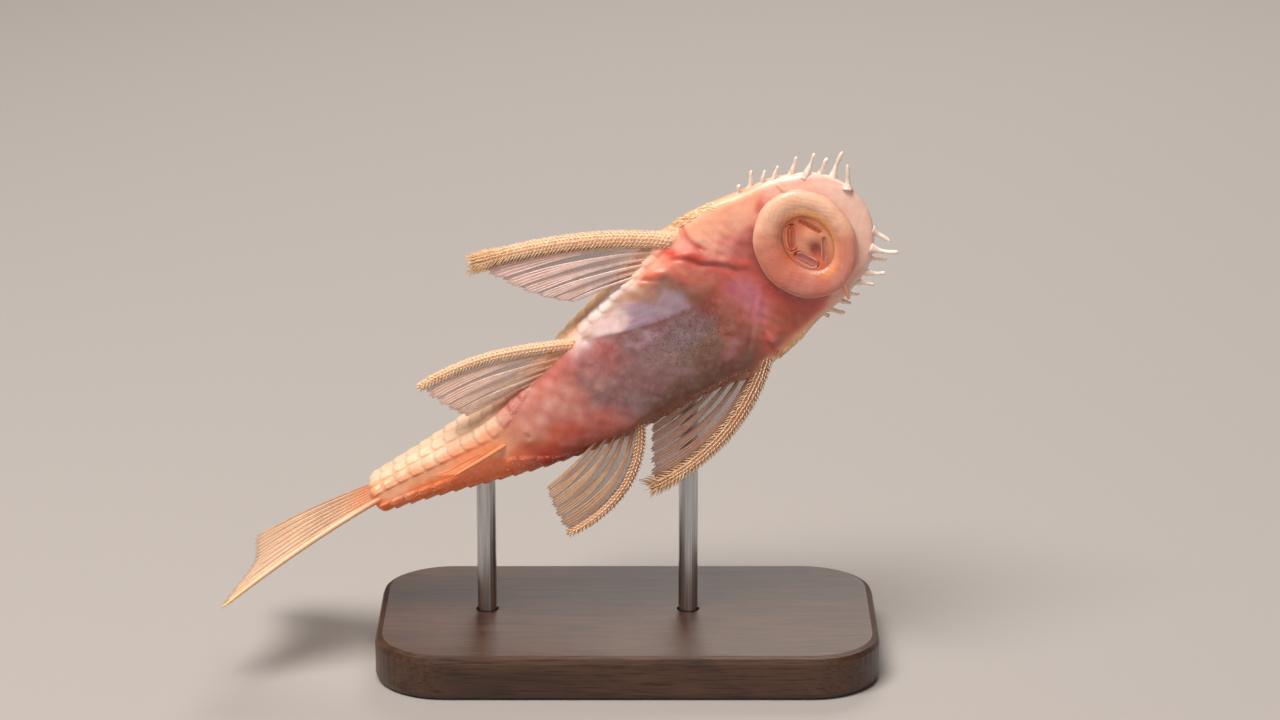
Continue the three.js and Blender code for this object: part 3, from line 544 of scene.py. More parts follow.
def skin_washes(s, turn, left, rim, plated):
    """
    The skin's colours, laid on in order as a painter would: cream plates, warm flanks, a red and pink throat,
    the rust arc of the shoulder girdle, the pearl and slate halves of the belly, and the orange under the
    tail. Each edge drifts by up to a millimetre. Over them lie painted shade on the belly, on the rust arc and
    on the low left flank, and a painted shadow on the skin behind the sucker's rear edge.
    """
    def spot(at, size, tilt=0.0):
        """An oval patch whose edge drifts."""
        return patch(s, left, at, size, tilt)

    turned = np.abs(turn)
    under = underside(turn)
    low_side = smooth(96, 114, turned)
    clean_s, clean_left = s, left
    s = s + 0.55 * wander(clean_s, clean_left, 5, 1) + 0.25 * wander(clean_s, clean_left, 1.7, 2)
    left = left + 0.5 * wander(clean_s, clean_left, 5, 3) + 0.2 * wander(clean_s, clean_left, 1.7, 4)
    colour = paint(
        even_wash(s.shape, (246, 212, 168)),
        ((246, 190, 144), 0.6 * smooth(60, 100, turned) * (1 - smooth(56, 66, s))),
        ((255, 222, 190), 0.85 * smooth(48, 66, s)),
        ((236, 158, 112), 0.35 * rim * plated),
        ((242, 186, 152), (1 - smooth(24, 29, s)) * 0.75),
        ((252, 218, 204), (1 - smooth(9, 14, s)) * 0.85),
    )

    belly = under * (1 - smooth(60, 69, s))
    colour = paint(
        colour,
        ((226, 122, 106), belly),
        ((254, 208, 190), under * (1 - smooth(11.5, 14.5, s - 0.12 * left))),
        ((248, 164, 140), spot((58, -3), (7, 3.6)) * belly),
        ((220, 110, 108), spot((46.5, -5.0), (5, 2.4), 8) * belly),
        ((250, 196, 168), spot((44, -9.6), (12, 1.6), 6) * low_side),
        ((255, 247, 245), spot((41.5, -8.7), (7.0, 2.0), 16) * low_side),
        ((250, 206, 184), spot((30.5, -10.8), (5.2, 1.9), -12) * low_side),
    )

    before_girdle = smooth(1.0, 2.8, through(GIRDLE, clean_left) - s) * under
    rust = hill(s - through(GIRDLE, clean_left), 2.1) * under * smooth(-10.8, -9.4, left)
    around_mouth = np.sqrt(((clean_s - 10.2) / 8.0) ** 2 + (clean_left / 8.9) ** 2)
    flap_share = along_flap(-clean_left) * under
    colour = paint(
        colour,
        ((232, 104, 88), before_girdle * smooth(-11.6, -10.4, left) * smooth(12.5, 15.5, s)),
        ((252, 178, 146), before_girdle * smooth(-4.6, -7.4, left) * smooth(11, 13, s)),
        ((240, 132, 124), spot((20.8, -7.0), (3.4, 2.2), 14) * under),
        ((248, 190, 178), spot((17.2, -8.6), (2.6, 0.8), -34) * under),
        ((250, 184, 170), spot((24.4, -9.6), (2.4, 1.1), -40) * under),
        ((222, 122, 146), spot((22.9, 2.4), (2.8, 3.8), 20) * under),
        ((234, 150, 172), 0.8 * spot((24.2, 1.2), (1.2, 1.9), 30) * under),
        ((204, 84, 54), spot((19.4, 9.4), (4.6, 2.8), 30) * under),
        ((236, 60, 54), 0.95 * hill(s - through(RED_BAND, clean_left), 1.5) * under),
        ((232, 112, 70), rust),
        ((196, 88, 64), rust * smooth(-2.5, 1, left) * 0.9),
        ((184, 82, 60), spot((26.8, 7.2), (2.6, 3.4)) * under * 0.9),
        ((214, 120, 118), 0.8 * spot((LOBE["s"], LOBE["left"]), (1.5, 1.1)) * under),
        # Painted shadow: a dark red ring on the skin just behind the sucker's rear edge.
        ((196, 48, 44), 0.9 * hill(around_mouth - 1.02, 0.12) * smooth(10, 14, s) * under),
        ((214, 76, 66), 0.6 * hill(behind_flap(clean_s, clean_left) - 0.2, 0.5) * flap_share),
    )

    apart = clean_left - through(MEMBRANE_LINE, clean_s)
    slate_side = smooth(*MEMBRANE_EDGE, apart) * under
    pearl_side = (1 - smooth(*MEMBRANE_EDGE, apart)) * under
    reach = np.sqrt(((s - 39.4) / 11.9) ** 2 + ((left + 0.2) / 9.6) ** 2)
    whole = 1 - smooth(0.82, 1.12, reach)
    colour = paint(
        colour,
        ((184, 134, 100), 0.9 * hill(reach - 0.92, 0.15) * pearl_side),
        ((184, 180, 204), (1 - smooth(0.74, 0.94, reach)) * pearl_side),
        ((182, 184, 198), 0.85 * spot((34.5, -5.2), (4.2, 1.1), -20) * pearl_side),
        ((250, 222, 220), spot((42.2, -7.9), (4.2, 1.3), -16) * pearl_side),
        ((148, 108, 114), whole * slate_side),
        ((196, 104, 108), spot((46.5, -4.2), (4.2, 3.2)) * whole * slate_side),
        ((126, 98, 74), spot((32.4, 4.2), (4.4, 3.8), -16) * whole * slate_side),
        ((118, 72, 46), spot((37.0, 8.0), (8.4, 2.0), -6) * slate_side),
        ((136, 120, 130), spot((33.6, 0.4), (3.8, 2.2), -14) * slate_side),
        ((190, 160, 186), 0.9 * spot((38.4, -2.5), (2.7, 0.6), -24) * slate_side),
        ((206, 160, 180), 0.7 * spot((29.6, 6.9), (1.9, 0.7), 24) * slate_side),
        ((112, 84, 92), 0.4 * hill(apart - 0.32, 0.26) * hill(s - 37, 8) * slate_side),
    )

    beneath_tail = smooth(57, 66, s) * smooth(-3.4, -1.6, left + 0.02 * (s - 66)) * smooth(110, 132, turned)
    tail_side = smooth(52, 62, s) * smooth(0.0, 1.6, left) * smooth(52, 70, turned)
    flank = (1 - smooth(60, 70, s)) * smooth(51, 57, s) * smooth(4.0, 6.4, left) * smooth(78, 98, turned)
    colour = paint(
        colour,
        ((255, 176, 128), beneath_tail),
        ((252, 122, 56), tail_side),
        ((190, 70, 34), flank),
        ((150, 72, 44), 0.9 * spot((39, 9.9), (12, 1.8), -8) * smooth(90, 104, turned)),
    )

    for offset in (0.9, 1.9, 3.0, 4.2):
        streak = hill(apart + offset + 0.12 * np.sin(clean_s * 0.9 + offset), 0.17) * pearl_side
        colour = paint(colour, ((246, 232, 236), 0.4 * streak * hill(clean_s - 38.5 - offset, 5.5)))
    # Painted shade: the belly, turned away from the lamp above, is darkened, all but the top-facing white
    # patch of the right flank.
    belly_shade = under * smooth(-9.2, -7.4, left) * smooth(13.0, 15.5, s) * (1 - smooth(62, 70, s))
    belly_shade = belly_shade * (1 - 0.9 * spot((41.5, -8.5), (7.4, 2.2), 16))
    colour = deepen(colour, belly_shade, (0.64, 0.5, 0.57))
    peach = before_girdle * smooth(-4.8, -7.6, left) * smooth(13, 15, s) * (1 - smooth(22, 25, s)) * under
    colour = paint(
        colour,
        ((248, 172, 140), 0.85 * peach),
        ((232, 128, 122), 0.7 * spot((19.6, -6.4), (2.8, 0.7), -28) * under),
    )
    # Painted shade: the rust arc of the shoulder girdle is darkened further, over its own rust colour.
    colour = deepen(colour, rust, (0.8, 0.5, 0.42))
    colour = deepen(colour, hill(reach - 0.92, 0.13) * pearl_side, (0.72, 0.68, 0.66))
    # Painted shade: the left flank low down, which faces down and away from the lamp, is darkened.
    colour = deepen(colour, smooth(5.5, 9.5, left) * smooth(25, 31, s) * low_side, (0.55, 0.42, 0.36))
    colour = deepen(colour, spot((58, 4.4), (7, 2.4), -6) * under, (0.92, 0.32, 0.16))

    cheek = hill(s - 22.5, 3.4) * hill(turned - 99, 15)
    colour = paint(
        colour,
        ((250, 172, 96), cheek * 0.8),
        ((252, 212, 168), hill(s - 17.5, 2.6) * hill(turned - 98, 14) * 0.6),
    )
    return paint(colour, ((206, 62, 50), 0.7 * gill_slit(clean_s, turned, 0.6)))


wash = skin_washes(grid_s, grid_turn, skin_left, plate_rim, plated)


def point_values(piece, name, values):
    """A named value for each vertex: a number or a vector, read by an Attribute node."""
    values = np.asarray(values, float)
    if values.ndim == 1:
        attribute = piece.data.attributes.new(name, "FLOAT", "POINT")
        attribute.data.foreach_set("value", values)
    else:
        attribute = piece.data.attributes.new(name, "FLOAT_VECTOR", "POINT")
        attribute.data.foreach_set("vector", values.ravel())


def with_poles(values):
    """The grid's values for each vertex, followed by those of the snout's and the tail's poles."""
    flat = np.asarray(values, float).reshape(skin_rows * SKIN_AROUND, -1)
    return np.concatenate([flat, flat[:1], flat[-1:]]).squeeze()


below_line = smooth(*MEMBRANE_EDGE, skin_left - through(MEMBRANE_LINE, grid_s)) * underside(grid_turn)
slate_share = patch(grid_s, skin_left, (38.8, 0.5), (13.0, 9.0), -6, 0.3) * below_line
speckled = slate_share * (0.35 + 0.65 * patch(grid_s, skin_left, (33, 1.6), (6, 3.4), -16, 0.6))
blotchy = patch(grid_s, skin_left, (55.5, -1.5), (8, 5)) * underside(grid_turn)
for name, values in {
    "wash": wash, "plated": plated, "laced": slate_share, "speckled": speckled, "blotchy": blotchy,
}.items():
    point_values(skin, name, with_poles(values))


def attribute(tree, name):
    """The sockets of a piece's own named values."""
    node = tree.nodes.new("ShaderNodeAttribute")
    node.attribute_name = name
    return node.outputs


def times(tree, first, second):
    """The product of two values; each is a socket or a number."""
    node = tree.nodes.new("ShaderNodeMath")
    node.operation = "MULTIPLY"
    feed(tree, node.inputs[0], first)
    feed(tree, node.inputs[1], second)
    return node.outputs[0]


def pebbles(tree, vector, scale):
    """The distance of each place from the middle of its cell in a Voronoi texture on a vector."""
    texture = tree.nodes.new("ShaderNodeTexVoronoi")
    texture.inputs["Scale"].default_value = scale
    tree.links.new(vector, texture.inputs["Vector"])
    return texture.outputs["Distance"]


def flesh(shader, amount, roughness):
    """Light that soaks into wet pale flesh and comes out redder, under a wet gloss."""
    shader.inputs["Subsurface Weight"].default_value = amount
    shader.inputs["Subsurface Radius"].default_value = (0.0016, 0.0006, 0.0004)
    shader.inputs["Subsurface Scale"].default_value = 1.0
    shader.inputs["Roughness"].default_value = roughness
    shader.inputs["Coat Weight"].default_value = 0.25
    shader.inputs["Coat Roughness"].default_value = 0.22


skin_material, tree, shader = plain_material("albino skin", (236, 170, 130), 0.45)
flesh(shader, 0.2, 0.46)
shader.inputs["Coat Weight"].default_value = 0.4
shader.inputs["Coat Roughness"].default_value = 0.16
space = object_pattern(tree)
mottle = noise(tree, space, 900, 4, 0.65)
cloud = noise(tree, space, 190, 3, 0.6, 0.6)
speckle = noise(tree, space, 4200, 2, 0.7)
clouded = mix_colours(tree, 0.14, attribute(tree, "wash")["Vector"], ramp(tree, cloud, [
    (0.3, (206, 96, 70)), (0.5, (240, 184, 156)), (0.7, (255, 236, 220)),
]))
mottled = mix_colours(tree, 0.2, clouded, ramp(tree, mottle, [
    (0.32, (196, 178, 172)), (0.6, (255, 255, 255)),
]), "MULTIPLY")
lace = ramp(tree, pebbles(tree, space, 820), [(0.1, (255, 255, 255)), (0.55, (0, 0, 0))])
lace_share = times(tree, times(tree, attribute(tree, "laced")["Fac"], 0.18), lace)
laced = mix_colours(tree, lace_share, mottled, srgb(206, 172, 156))
dots = ramp(tree, speckle, [(0.36, (84, 74, 82)), (0.47, (255, 255, 255))])
dot_share = times(tree, attribute(tree, "speckled")["Fac"], 0.75)
dotted = mix_colours(tree, dot_share, laced, dots, "MULTIPLY")
blotch = ramp(tree, pebbles(tree, space, 360), [(0.05, (255, 255, 255)), (0.55, (0, 0, 0))])
blotch_share = times(tree, times(tree, attribute(tree, "blotchy")["Fac"], 0.42), blotch)
blotched = mix_colours(tree, blotch_share, dotted, srgb(250, 200, 186))
tree.links.new(blotched, shader.inputs["Base Color"])
prickles = times(tree, pebbles(tree, space, 2600), attribute(tree, "plated")["Fac"])
fine = add_bump(tree, shader, prickles, 0.35, 0.0001)
add_bump(tree, shader, mottle, 0.3, 0.00016, fine)
skin.data.materials.append(skin_material)
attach(skin, "root")
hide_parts("head", "torso", "tail")


# Eyes: a glassy ball in each socket, set high on the head and looking out and up. An albino's pupil is deep
# red and its iris a pale coppery cream.
EYE_GAZE = (0.10, 0.72, 0.62)
PUPIL_EDGE = 24 / 90
IRIS_EDGE = 52 / 90
LENS_ROWS = 32
LENS_AROUND = 48


def unit(vectors):
    """Vectors scaled to length 1."""
    return vectors / np.maximum(np.linalg.norm(vectors, axis=-1, keepdims=True), 1e-12)


eye_material, tree, shader = plain_material("albino eye", (150, 30, 24), 0.06)
shader.inputs["Coat Weight"].default_value = 1.0
shader.inputs["Coat Roughness"].default_value = 0.02
rings = ramp(tree, attribute(tree, "gaze")["Fac"], [
    (0.0, (104, 10, 12)), (PUPIL_EDGE - 0.02, (138, 18, 16)), (PUPIL_EDGE + 0.02, (226, 160, 110)),
    (IRIS_EDGE - 0.06, (214, 120, 84)), (IRIS_EDGE + 0.02, (196, 92, 74)), (1.0, (226, 150, 128)),
])
streaks = noise(tree, object_pattern(tree), 2400, 3, 0.7)
eye_colour = mix_colours(tree, 0.35, rings, ramp(tree, streaks, [
    (0.3, (190, 120, 100)), (0.7, (255, 255, 255)),
]), "MULTIPLY")
tree.links.new(eye_colour, shader.inputs["Base Color"])

lens_angle = np.linspace(0, math.pi, LENS_ROWS + 2)[1:-1]
lens_turn = np.linspace(0, 2 * math.pi, LENS_AROUND, endpoint=False)
angle, around = (v[..., None] for v in np.meshgrid(lens_angle, lens_turn, indexing="ij"))
for side, eye_name in ((1, "eye_left"), (-1, "eye_right")):
    centre = fish_point(EYE["s"], side * EYE["left"], EYE["up"])
    ahead = fish_point(EYE["s"] - EYE_GAZE[0], side * (EYE["left"] + EYE_GAZE[1]), EYE["up"] + EYE_GAZE[2])
    towards = unit(ahead - centre)
    across = unit(np.cross(towards, (0.3, 0.2, 0.93)))
    third = np.cross(towards, across)
    radius = EYE["radius"] / 1000
    out = np.cos(angle) * towards + np.sin(angle) * (np.cos(around) * across + np.sin(around) * third)
    ball = centre + radius * (1 + 0.05 * hill(angle, 0.45)) * out
    poles = np.stack([centre + 1.05 * radius * towards, centre - radius * towards])
    points = np.concatenate([ball.reshape(-1, 3), poles])
    ring = np.arange(LENS_AROUND)
    caps = np.concatenate([
        fan(len(points) - 2, ring), fan(len(points) - 1, (LENS_ROWS - 1) * LENS_AROUND + ring, turned=True),
    ])
    eye = mesh_piece(eye_name + "_ball", points, grid_quads(LENS_ROWS, LENS_AROUND, closed=True), caps)
    recalculate_outwards(eye)
    point_values(eye, "gaze", np.concatenate([np.degrees(angle).ravel() / 90, [0, 2]]))
    eye.data.materials.append(eye_material)
    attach(eye, "root")
    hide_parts(eye_name)


# Bristles: soft blunt tentacles along the snout's edge, short as a female's are, and a few between them that
# have hardly grown. They are flesh, rooted in the rim of the snout.
BRISTLES = [
    (15.6, 1.3), (14.0, 2.5), (12.0, 1.9), (10.2, 1.9), (8.0, 2.6), (5.9, 3.0), (4.1, 2.2), (2.6, 3.5),
    (1.2, 2.6),
]
BRISTLE_RADIUS = 0.45


def tubes(name, paths, radii, sides=10, flat=1.0, flat_along=(0.0, 1.0, 0.0)):
    """
    Many round tubes in one mesh: each runs along its path of points with a radius at each point, and closes
    to a point at both ends. Its section stands square to the path, and flat squashes it along a direction.
    """
    paths = np.asarray(paths, float)
    radii = np.asarray(radii, float)
    count, steps = radii.shape
    along = unit(np.gradient(paths, axis=1))
    guide = np.broadcast_to(np.array(flat_along), along.shape)
    steep = np.abs((along * guide).sum(-1, keepdims=True)) > 0.93
    across = unit(np.cross(along, np.where(steep, np.array([0.3, 0.3, 0.9]), guide)))
    third = np.cross(across, along)
    a = np.linspace(0, 2 * math.pi, sides, endpoint=False)
    around = np.cos(a)[:, None] * across[:, :, None, :] + flat * np.sin(a)[:, None] * third[:, :, None, :]
    rings = paths[:, :, None, :] + radii[:, :, None, None] * around
    ends = np.stack([paths[:, 0], paths[:, -1]], 1)
    points = np.concatenate([rings.reshape(count, -1, 3), ends], 1)
    per_tube = steps * sides + 2
    ring = np.arange(sides)
    caps = np.concatenate([
        fan(per_tube - 2, ring, turned=True), fan(per_tube - 1, (steps - 1) * sides + ring),
    ])
    offsets = (np.arange(count) * per_tube)[:, None, None]
    return mesh_piece(name, points, grid_quads(steps, sides, closed=True) + offsets, caps + offsets)


bristle_paths = []
bristle_radii = []
bristle_t = np.linspace(0, 1, 18)
for side in (1, -1):
    for k, (s, length) in enumerate(BRISTLES):
        edge = through(HALF_WIDTH, s) * rounding(s, SNOUT_ROUNDING)
        height = through(WIDEST, s) + 0.5 * math.sin(k * 2.3 + side)
        root = fish_point(s, side * (edge - 0.9), height)
        outward = unit(fish_point(s - 1.6 - 2.0 * (1 - s / 16), side * (edge + 1.4), height) - root)
        reach = (length + 0.9) / 1000
        lean = np.array([0.0, -0.12, 0.1]) * reach
        curl = np.array([0.04 * math.sin(k * 1.7), 0.0, 0.05 * math.cos(k * 2.9 + side)]) * reach
        path = root + bristle_t[:, None] * reach * outward + bristle_t[:, None] ** 2 * lean
        path = path + np.sin(bristle_t * math.pi)[:, None] * curl
        width = BRISTLE_RADIUS * (1.25 * (1 - bristle_t) ** 3 + 0.62 + 0.12 * np.sin(bristle_t * 9 + k))
        bristle_paths.append(path)
        bristle_radii.append(width * rounding(1.02 - bristle_t, 0.12) / 1000)
bristles = tubes("snout_bristles", bristle_paths, bristle_radii, 14)
bristle_material, tree, shader = plain_material("bristle flesh", (240, 208, 196), 0.4)
flesh(shader, 0.35, 0.42)
space = object_pattern(tree)
tree.links.new(ramp(tree, noise(tree, space, 1400, 3, 0.6), [
    (0.3, (244, 200, 182)), (0.5, (250, 226, 212)), (0.7, (255, 240, 230)),
]), shader.inputs["Base Color"])
add_bump(tree, shader, noise(tree, space, 3200), 0.3, 0.0001)
bristles.data.materials.append(bristle_material)
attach(bristles, "root")
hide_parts("head")


# Lips: a round sucker of soft flesh, full and smooth, thin at its free edge. Its inner face slopes down into
# an orange funnel round the opening.
MOUTH = {"s": 10.2, "half_width": 8.9, "front": 6.9, "back": 8.0, "open_width": 4.5, "open_length": 3.1}
LIP_AROUND = 260
LIP_ROWS = 90
LIP_PATH = [
    (0.0, 3.0), (0.0, 2.3), (0.01, 1.6), (0.04, 1.15), (0.1, 0.82), (0.18, 0.56), (0.3, 0.33), (0.44, 0.16),
    (0.6, 0.1), (0.74, 0.12), (0.85, 0.26), (0.93, 0.5), (0.985, 0.82), (1.0, 1.15), (0.985, 1.5),
    (0.93, 1.9), (0.84, 2.4), (0.7, 3.0),
]


def dense(path, steps):
    """A smooth line through a short list of points, with steps points, spaced by their number."""
    path = np.array(path, float)
    at = np.arange(len(path), dtype=float)
    fine = np.linspace(0, len(path) - 1, steps)
    return np.stack([through(np.stack([at, path[:, k]], -1), fine) for k in range(path.shape[1])], -1)


lip_profile = dense(LIP_PATH, LIP_ROWS)
lip_turn = np.linspace(0, 2 * math.pi, LIP_AROUND, endpoint=False)
lip_out, lip_around = np.meshgrid(lip_profile[:, 0], lip_turn, indexing="ij")
lip_up = np.broadcast_to(lip_profile[:, 1][:, None], lip_out.shape)
lip_along = -np.cos(lip_around)
lip_across = np.sin(lip_around)
wave = (
    1 + 0.015 * np.cos(2 * lip_around) + 0.012 * np.sin(3 * lip_around + 0.6) + 0.006 * np.sin(9 * lip_around)
)
lip_reach = np.where(lip_along < 0, MOUTH["front"], MOUTH["back"]) * wave
lip_s = MOUTH["s"] + (MOUTH["open_length"] * (1 - lip_out) + lip_reach * lip_out) * lip_along
lip_left = (MOUTH["open_width"] * (1 - lip_out) + MOUTH["half_width"] * wave * lip_out) * lip_across
lip_facing = np.broadcast_to((np.arange(LIP_ROWS) < 0.76 * LIP_ROWS)[:, None], lip_out.shape)
grains = np.sin(lip_s * 7.0 + 0.8 * np.sin(lip_left * 2.0))
grains = grains * np.sin(lip_left * 7.0 + 0.7 * np.sin(lip_s * 1.7))
creases = np.sin(lip_around * 17 + 1.3 * np.sin(lip_around * 5)) * smooth(0.05, 0.3, lip_out)
dip = hill(lip_out - 0.36, 0.12) * hill(np.sin(lip_around * 0.5 + 0.4), 0.5)
lip_height = lip_up + lip_facing * (0.02 * creases - 0.025 * grains + 0.14 * dip)
lip_height = lip_height + 0.3 * lip_facing * hill(lip_out, 0.22) * np.sin(2 * lip_around + 0.9)
lip_points = fish_point(lip_s, lip_left, lip_height)
lips = mesh_piece("lips", lip_points.reshape(-1, 3), grid_quads(LIP_ROWS, LIP_AROUND, closed=True))
recalculate_outwards(lips)
funnel = (1 - smooth(0.1, 0.42, lip_out + 0.05 * np.sin(3 * lip_around))) * smooth(3.5, -1.5, lip_s - 10.2)
lip_wash = paint(
    even_wash(lip_s.shape, (212, 124, 100)),
    # Painted light and shade: the half of the sucker on the fish's right, which faces the lamp above, is
    # painted pale, and the left half pinkish grey.
    ((255, 206, 172), smooth(1.5, -5.0, lip_left + 0.6 * (lip_s - 10)) * 0.9),
    ((202, 116, 106), hill(lip_left - 5.0, 3.2) * hill(lip_s - 14.5, 3.6) * 0.85),
    ((214, 138, 126), hill(lip_left - 8.0, 2.4) * hill(lip_s - 9.5, 3.6) * 0.8),
    ((208, 116, 86), (1 - smooth(0.16, 0.5, lip_out)) * 0.7),
    ((255, 176, 104), funnel * 0.95),
    ((208, 132, 122), (1 - smooth(0.05, 0.3, lip_out)) * hill(lip_left - 4.5, 2.2) * 0.8),
    ((240, 182, 164), smooth(0.9, 0.99, lip_out) * 0.7),
    # Painted shade: the lip's back wall, tucked under its rim, is painted dark red.
    ((208, 74, 56), (1 - lip_facing) * 0.8),
    ((204, 92, 58), smooth(1.3, 2.2, lip_up) * (lip_out < 0.5) * 0.8),
)
point_values(lips, "wash", lip_wash.reshape(-1, 3))
lip_material, tree, shader = plain_material("lip flesh", (236, 168, 140), 0.4)
flesh(shader, 0.4, 0.42)
space = object_pattern(tree)
grain = noise(tree, space, 1500, 4, 0.65)
soft = noise(tree, space, 300, 2, 0.5)
softened = mix_colours(tree, 0.12, attribute(tree, "wash")["Vector"], ramp(tree, soft, [
    (0.35, (236, 130, 96)), (0.65, (255, 234, 214)),
]))
grained = mix_colours(tree, 0.2, softened, ramp(tree, grain, [
    (0.32, (228, 194, 182)), (0.6, (255, 255, 255)),
]), "MULTIPLY")
tree.links.new(grained, shader.inputs["Base Color"])
add_bump(tree, shader, grain, 0.22, 0.00012)
lips.data.materials.append(lip_material)
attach(lips, "root")
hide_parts("mouth")


# Mouth lining: the floor of the funnel, with a soft peach pad in front and a deep red hollow beside it, its
# dark red partly painted shade. It dips under each tooth cup, so that only the cup's rim stands out of it.
LINING_ROWS = 44
LINING_AROUND = 120
LINING_OVERLAP = 0.35
CUP_HALF_WIDTH = {"jaw_upper": 0.45, "jaw_lower": 0.75}
lining_turn = np.linspace(0, 2 * math.pi, LINING_AROUND, endpoint=False)
lining_t, lining_turn = np.meshgrid(np.linspace(0.01, 1, LINING_ROWS), lining_turn, indexing="ij")
lining_s = MOUTH["s"] - (MOUTH["open_length"] + LINING_OVERLAP) * lining_t * np.cos(lining_turn)
lining_left = (MOUTH["open_width"] + LINING_OVERLAP) * lining_t * np.sin(lining_turn)


def cup_line(share, side, bow):
    """Along the spine and to the left: the middle of a tooth cup, from the mouth's middle to its corner."""
    return MOUTH["s"] + bow * (2.45 - 1.75 * share ** 1.15), side * (0.45 + 3.3 * share)


def near_cups(s, left):
    """1 on the line of the nearest tooth cup, falling softly to 0 a little outside its rim."""
    share = np.linspace(0.12, 0.88, 30)
    nearest = np.full(s.shape, 1e9)
    for side in (1, -1):
        for bow, width in ((-1, CUP_HALF_WIDTH["jaw_upper"]), (1, CUP_HALF_WIDTH["jaw_lower"])):
            cup_s, cup_left = cup_line(share, side, bow)
            away = np.sqrt((s[..., None] - cup_s) ** 2 + (left[..., None] - cup_left) ** 2).min(-1)
            nearest = np.minimum(nearest, away / width)
    return 1 - smooth(0.7, 1.15, nearest)


def oval(at, size):
    """A soft round swelling of the mouth's floor, 1 in its middle."""
    return hill(np.sqrt(((lining_s - at[0]) / size[0]) ** 2 + ((lining_left - at[1]) / size[1]) ** 2), 1.0)


pad = oval((9.3, -0.8), (1.3, 1.6))
hollow = oval((9.7, 1.6), (0.8, 1.1))
fold = oval((11.4, 0.1), (0.7, 1.5))
wrinkled = 0.015 * np.sin(lining_left * 7 + lining_s * 2) * np.sin(lining_s * 6)
lining_up = 0.95 - 0.35 * pad + 0.6 * hollow - 0.12 * fold + wrinkled
lining_up = lining_up + 0.4 * near_cups(lining_s, lining_left)
lining = mesh_piece(
    "mouth_lining", fish_point(lining_s, lining_left, lining_up).reshape(-1, 3),
    grid_quads(LINING_ROWS, LINING_AROUND, closed=True),
)
lining_wash = paint(
    even_wash(lining_s.shape, (216, 112, 76)),
    ((232, 152, 118), pad * 1.3),
    ((236, 146, 92), oval((7.6, 0.6), (0.9, 3.0))),
    # The hollow: the red of the flesh, darkened by painted shade.
    ((168, 40, 24), hollow * 1.8),
    ((222, 140, 116), fold),
)
point_values(lining, "wash", lining_wash.reshape(-1, 3))
lining.data.materials.append(lip_material)
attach(lining, "root")
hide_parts("mouth")


# Barbels: one short soft feeler at each corner of the mouth, grown out of the lip.
barbel_paths = []
barbel_radii = []
for side in (1, -1):
    root = fish_point(MOUTH["s"] - 1.6, side * (MOUTH["half_width"] - 1.3), 1.3)
    tip = fish_point(MOUTH["s"] - 0.6, side * (MOUTH["half_width"] + 1.6), 1.2)
    t = np.linspace(0, 1, 20)
    path = root + t[:, None] * (tip - root) + (t ** 2)[:, None] * np.array([0.0002, 0.0003, -0.0003])
    barbel_paths.append(path)
    barbel_radii.append((0.45 * (1 - t) ** 1.5 + 0.26) * rounding(1.02 - t, 0.1) / 1000)
barbels = tubes("mouth_barbels", barbel_paths, barbel_radii, 16)
point_values(barbels, "wash", even_wash((len(barbels.data.vertices),), (240, 168, 146)))
barbels.data.materials.append(lip_material)
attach(barbels, "root")
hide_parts("mouth")


# Jaws: in front and behind, two shallow cups lie in a V, sunk in the mouth's floor, pale at the rim and
# mauve inside. Each holds a comb of fine amber teeth, bent over to rasp algae off the glass.
TEETH_IN_A_CUP = 24
CUP_COLUMNS = 46
CUP_SECTION = [
    (-1.5, 1.0), (-1.3, 0.32), (-1.15, 0.1), (-1.0, 0.02), (-0.85, 0.06), (-0.65, 0.2), (0, 0.3),
    (0.65, 0.2), (0.85, 0.06), (1.0, 0.02), (1.15, 0.1), (1.3, 0.32), (1.5, 1.0),
]
CUP_ROWS = 40
tooth_material, tree, shader = plain_material("amber teeth", (214, 140, 70), 0.3)
shader.inputs["Subsurface Weight"].default_value = 0.2
shader.inputs["Subsurface Radius"].default_value = (0.0006, 0.0003, 0.0002)
tree.links.new(ramp(tree, noise(tree, object_pattern(tree), 2500), [
    (0.35, (196, 112, 50)), (0.65, (240, 184, 120)),
]), shader.inputs["Base Color"])

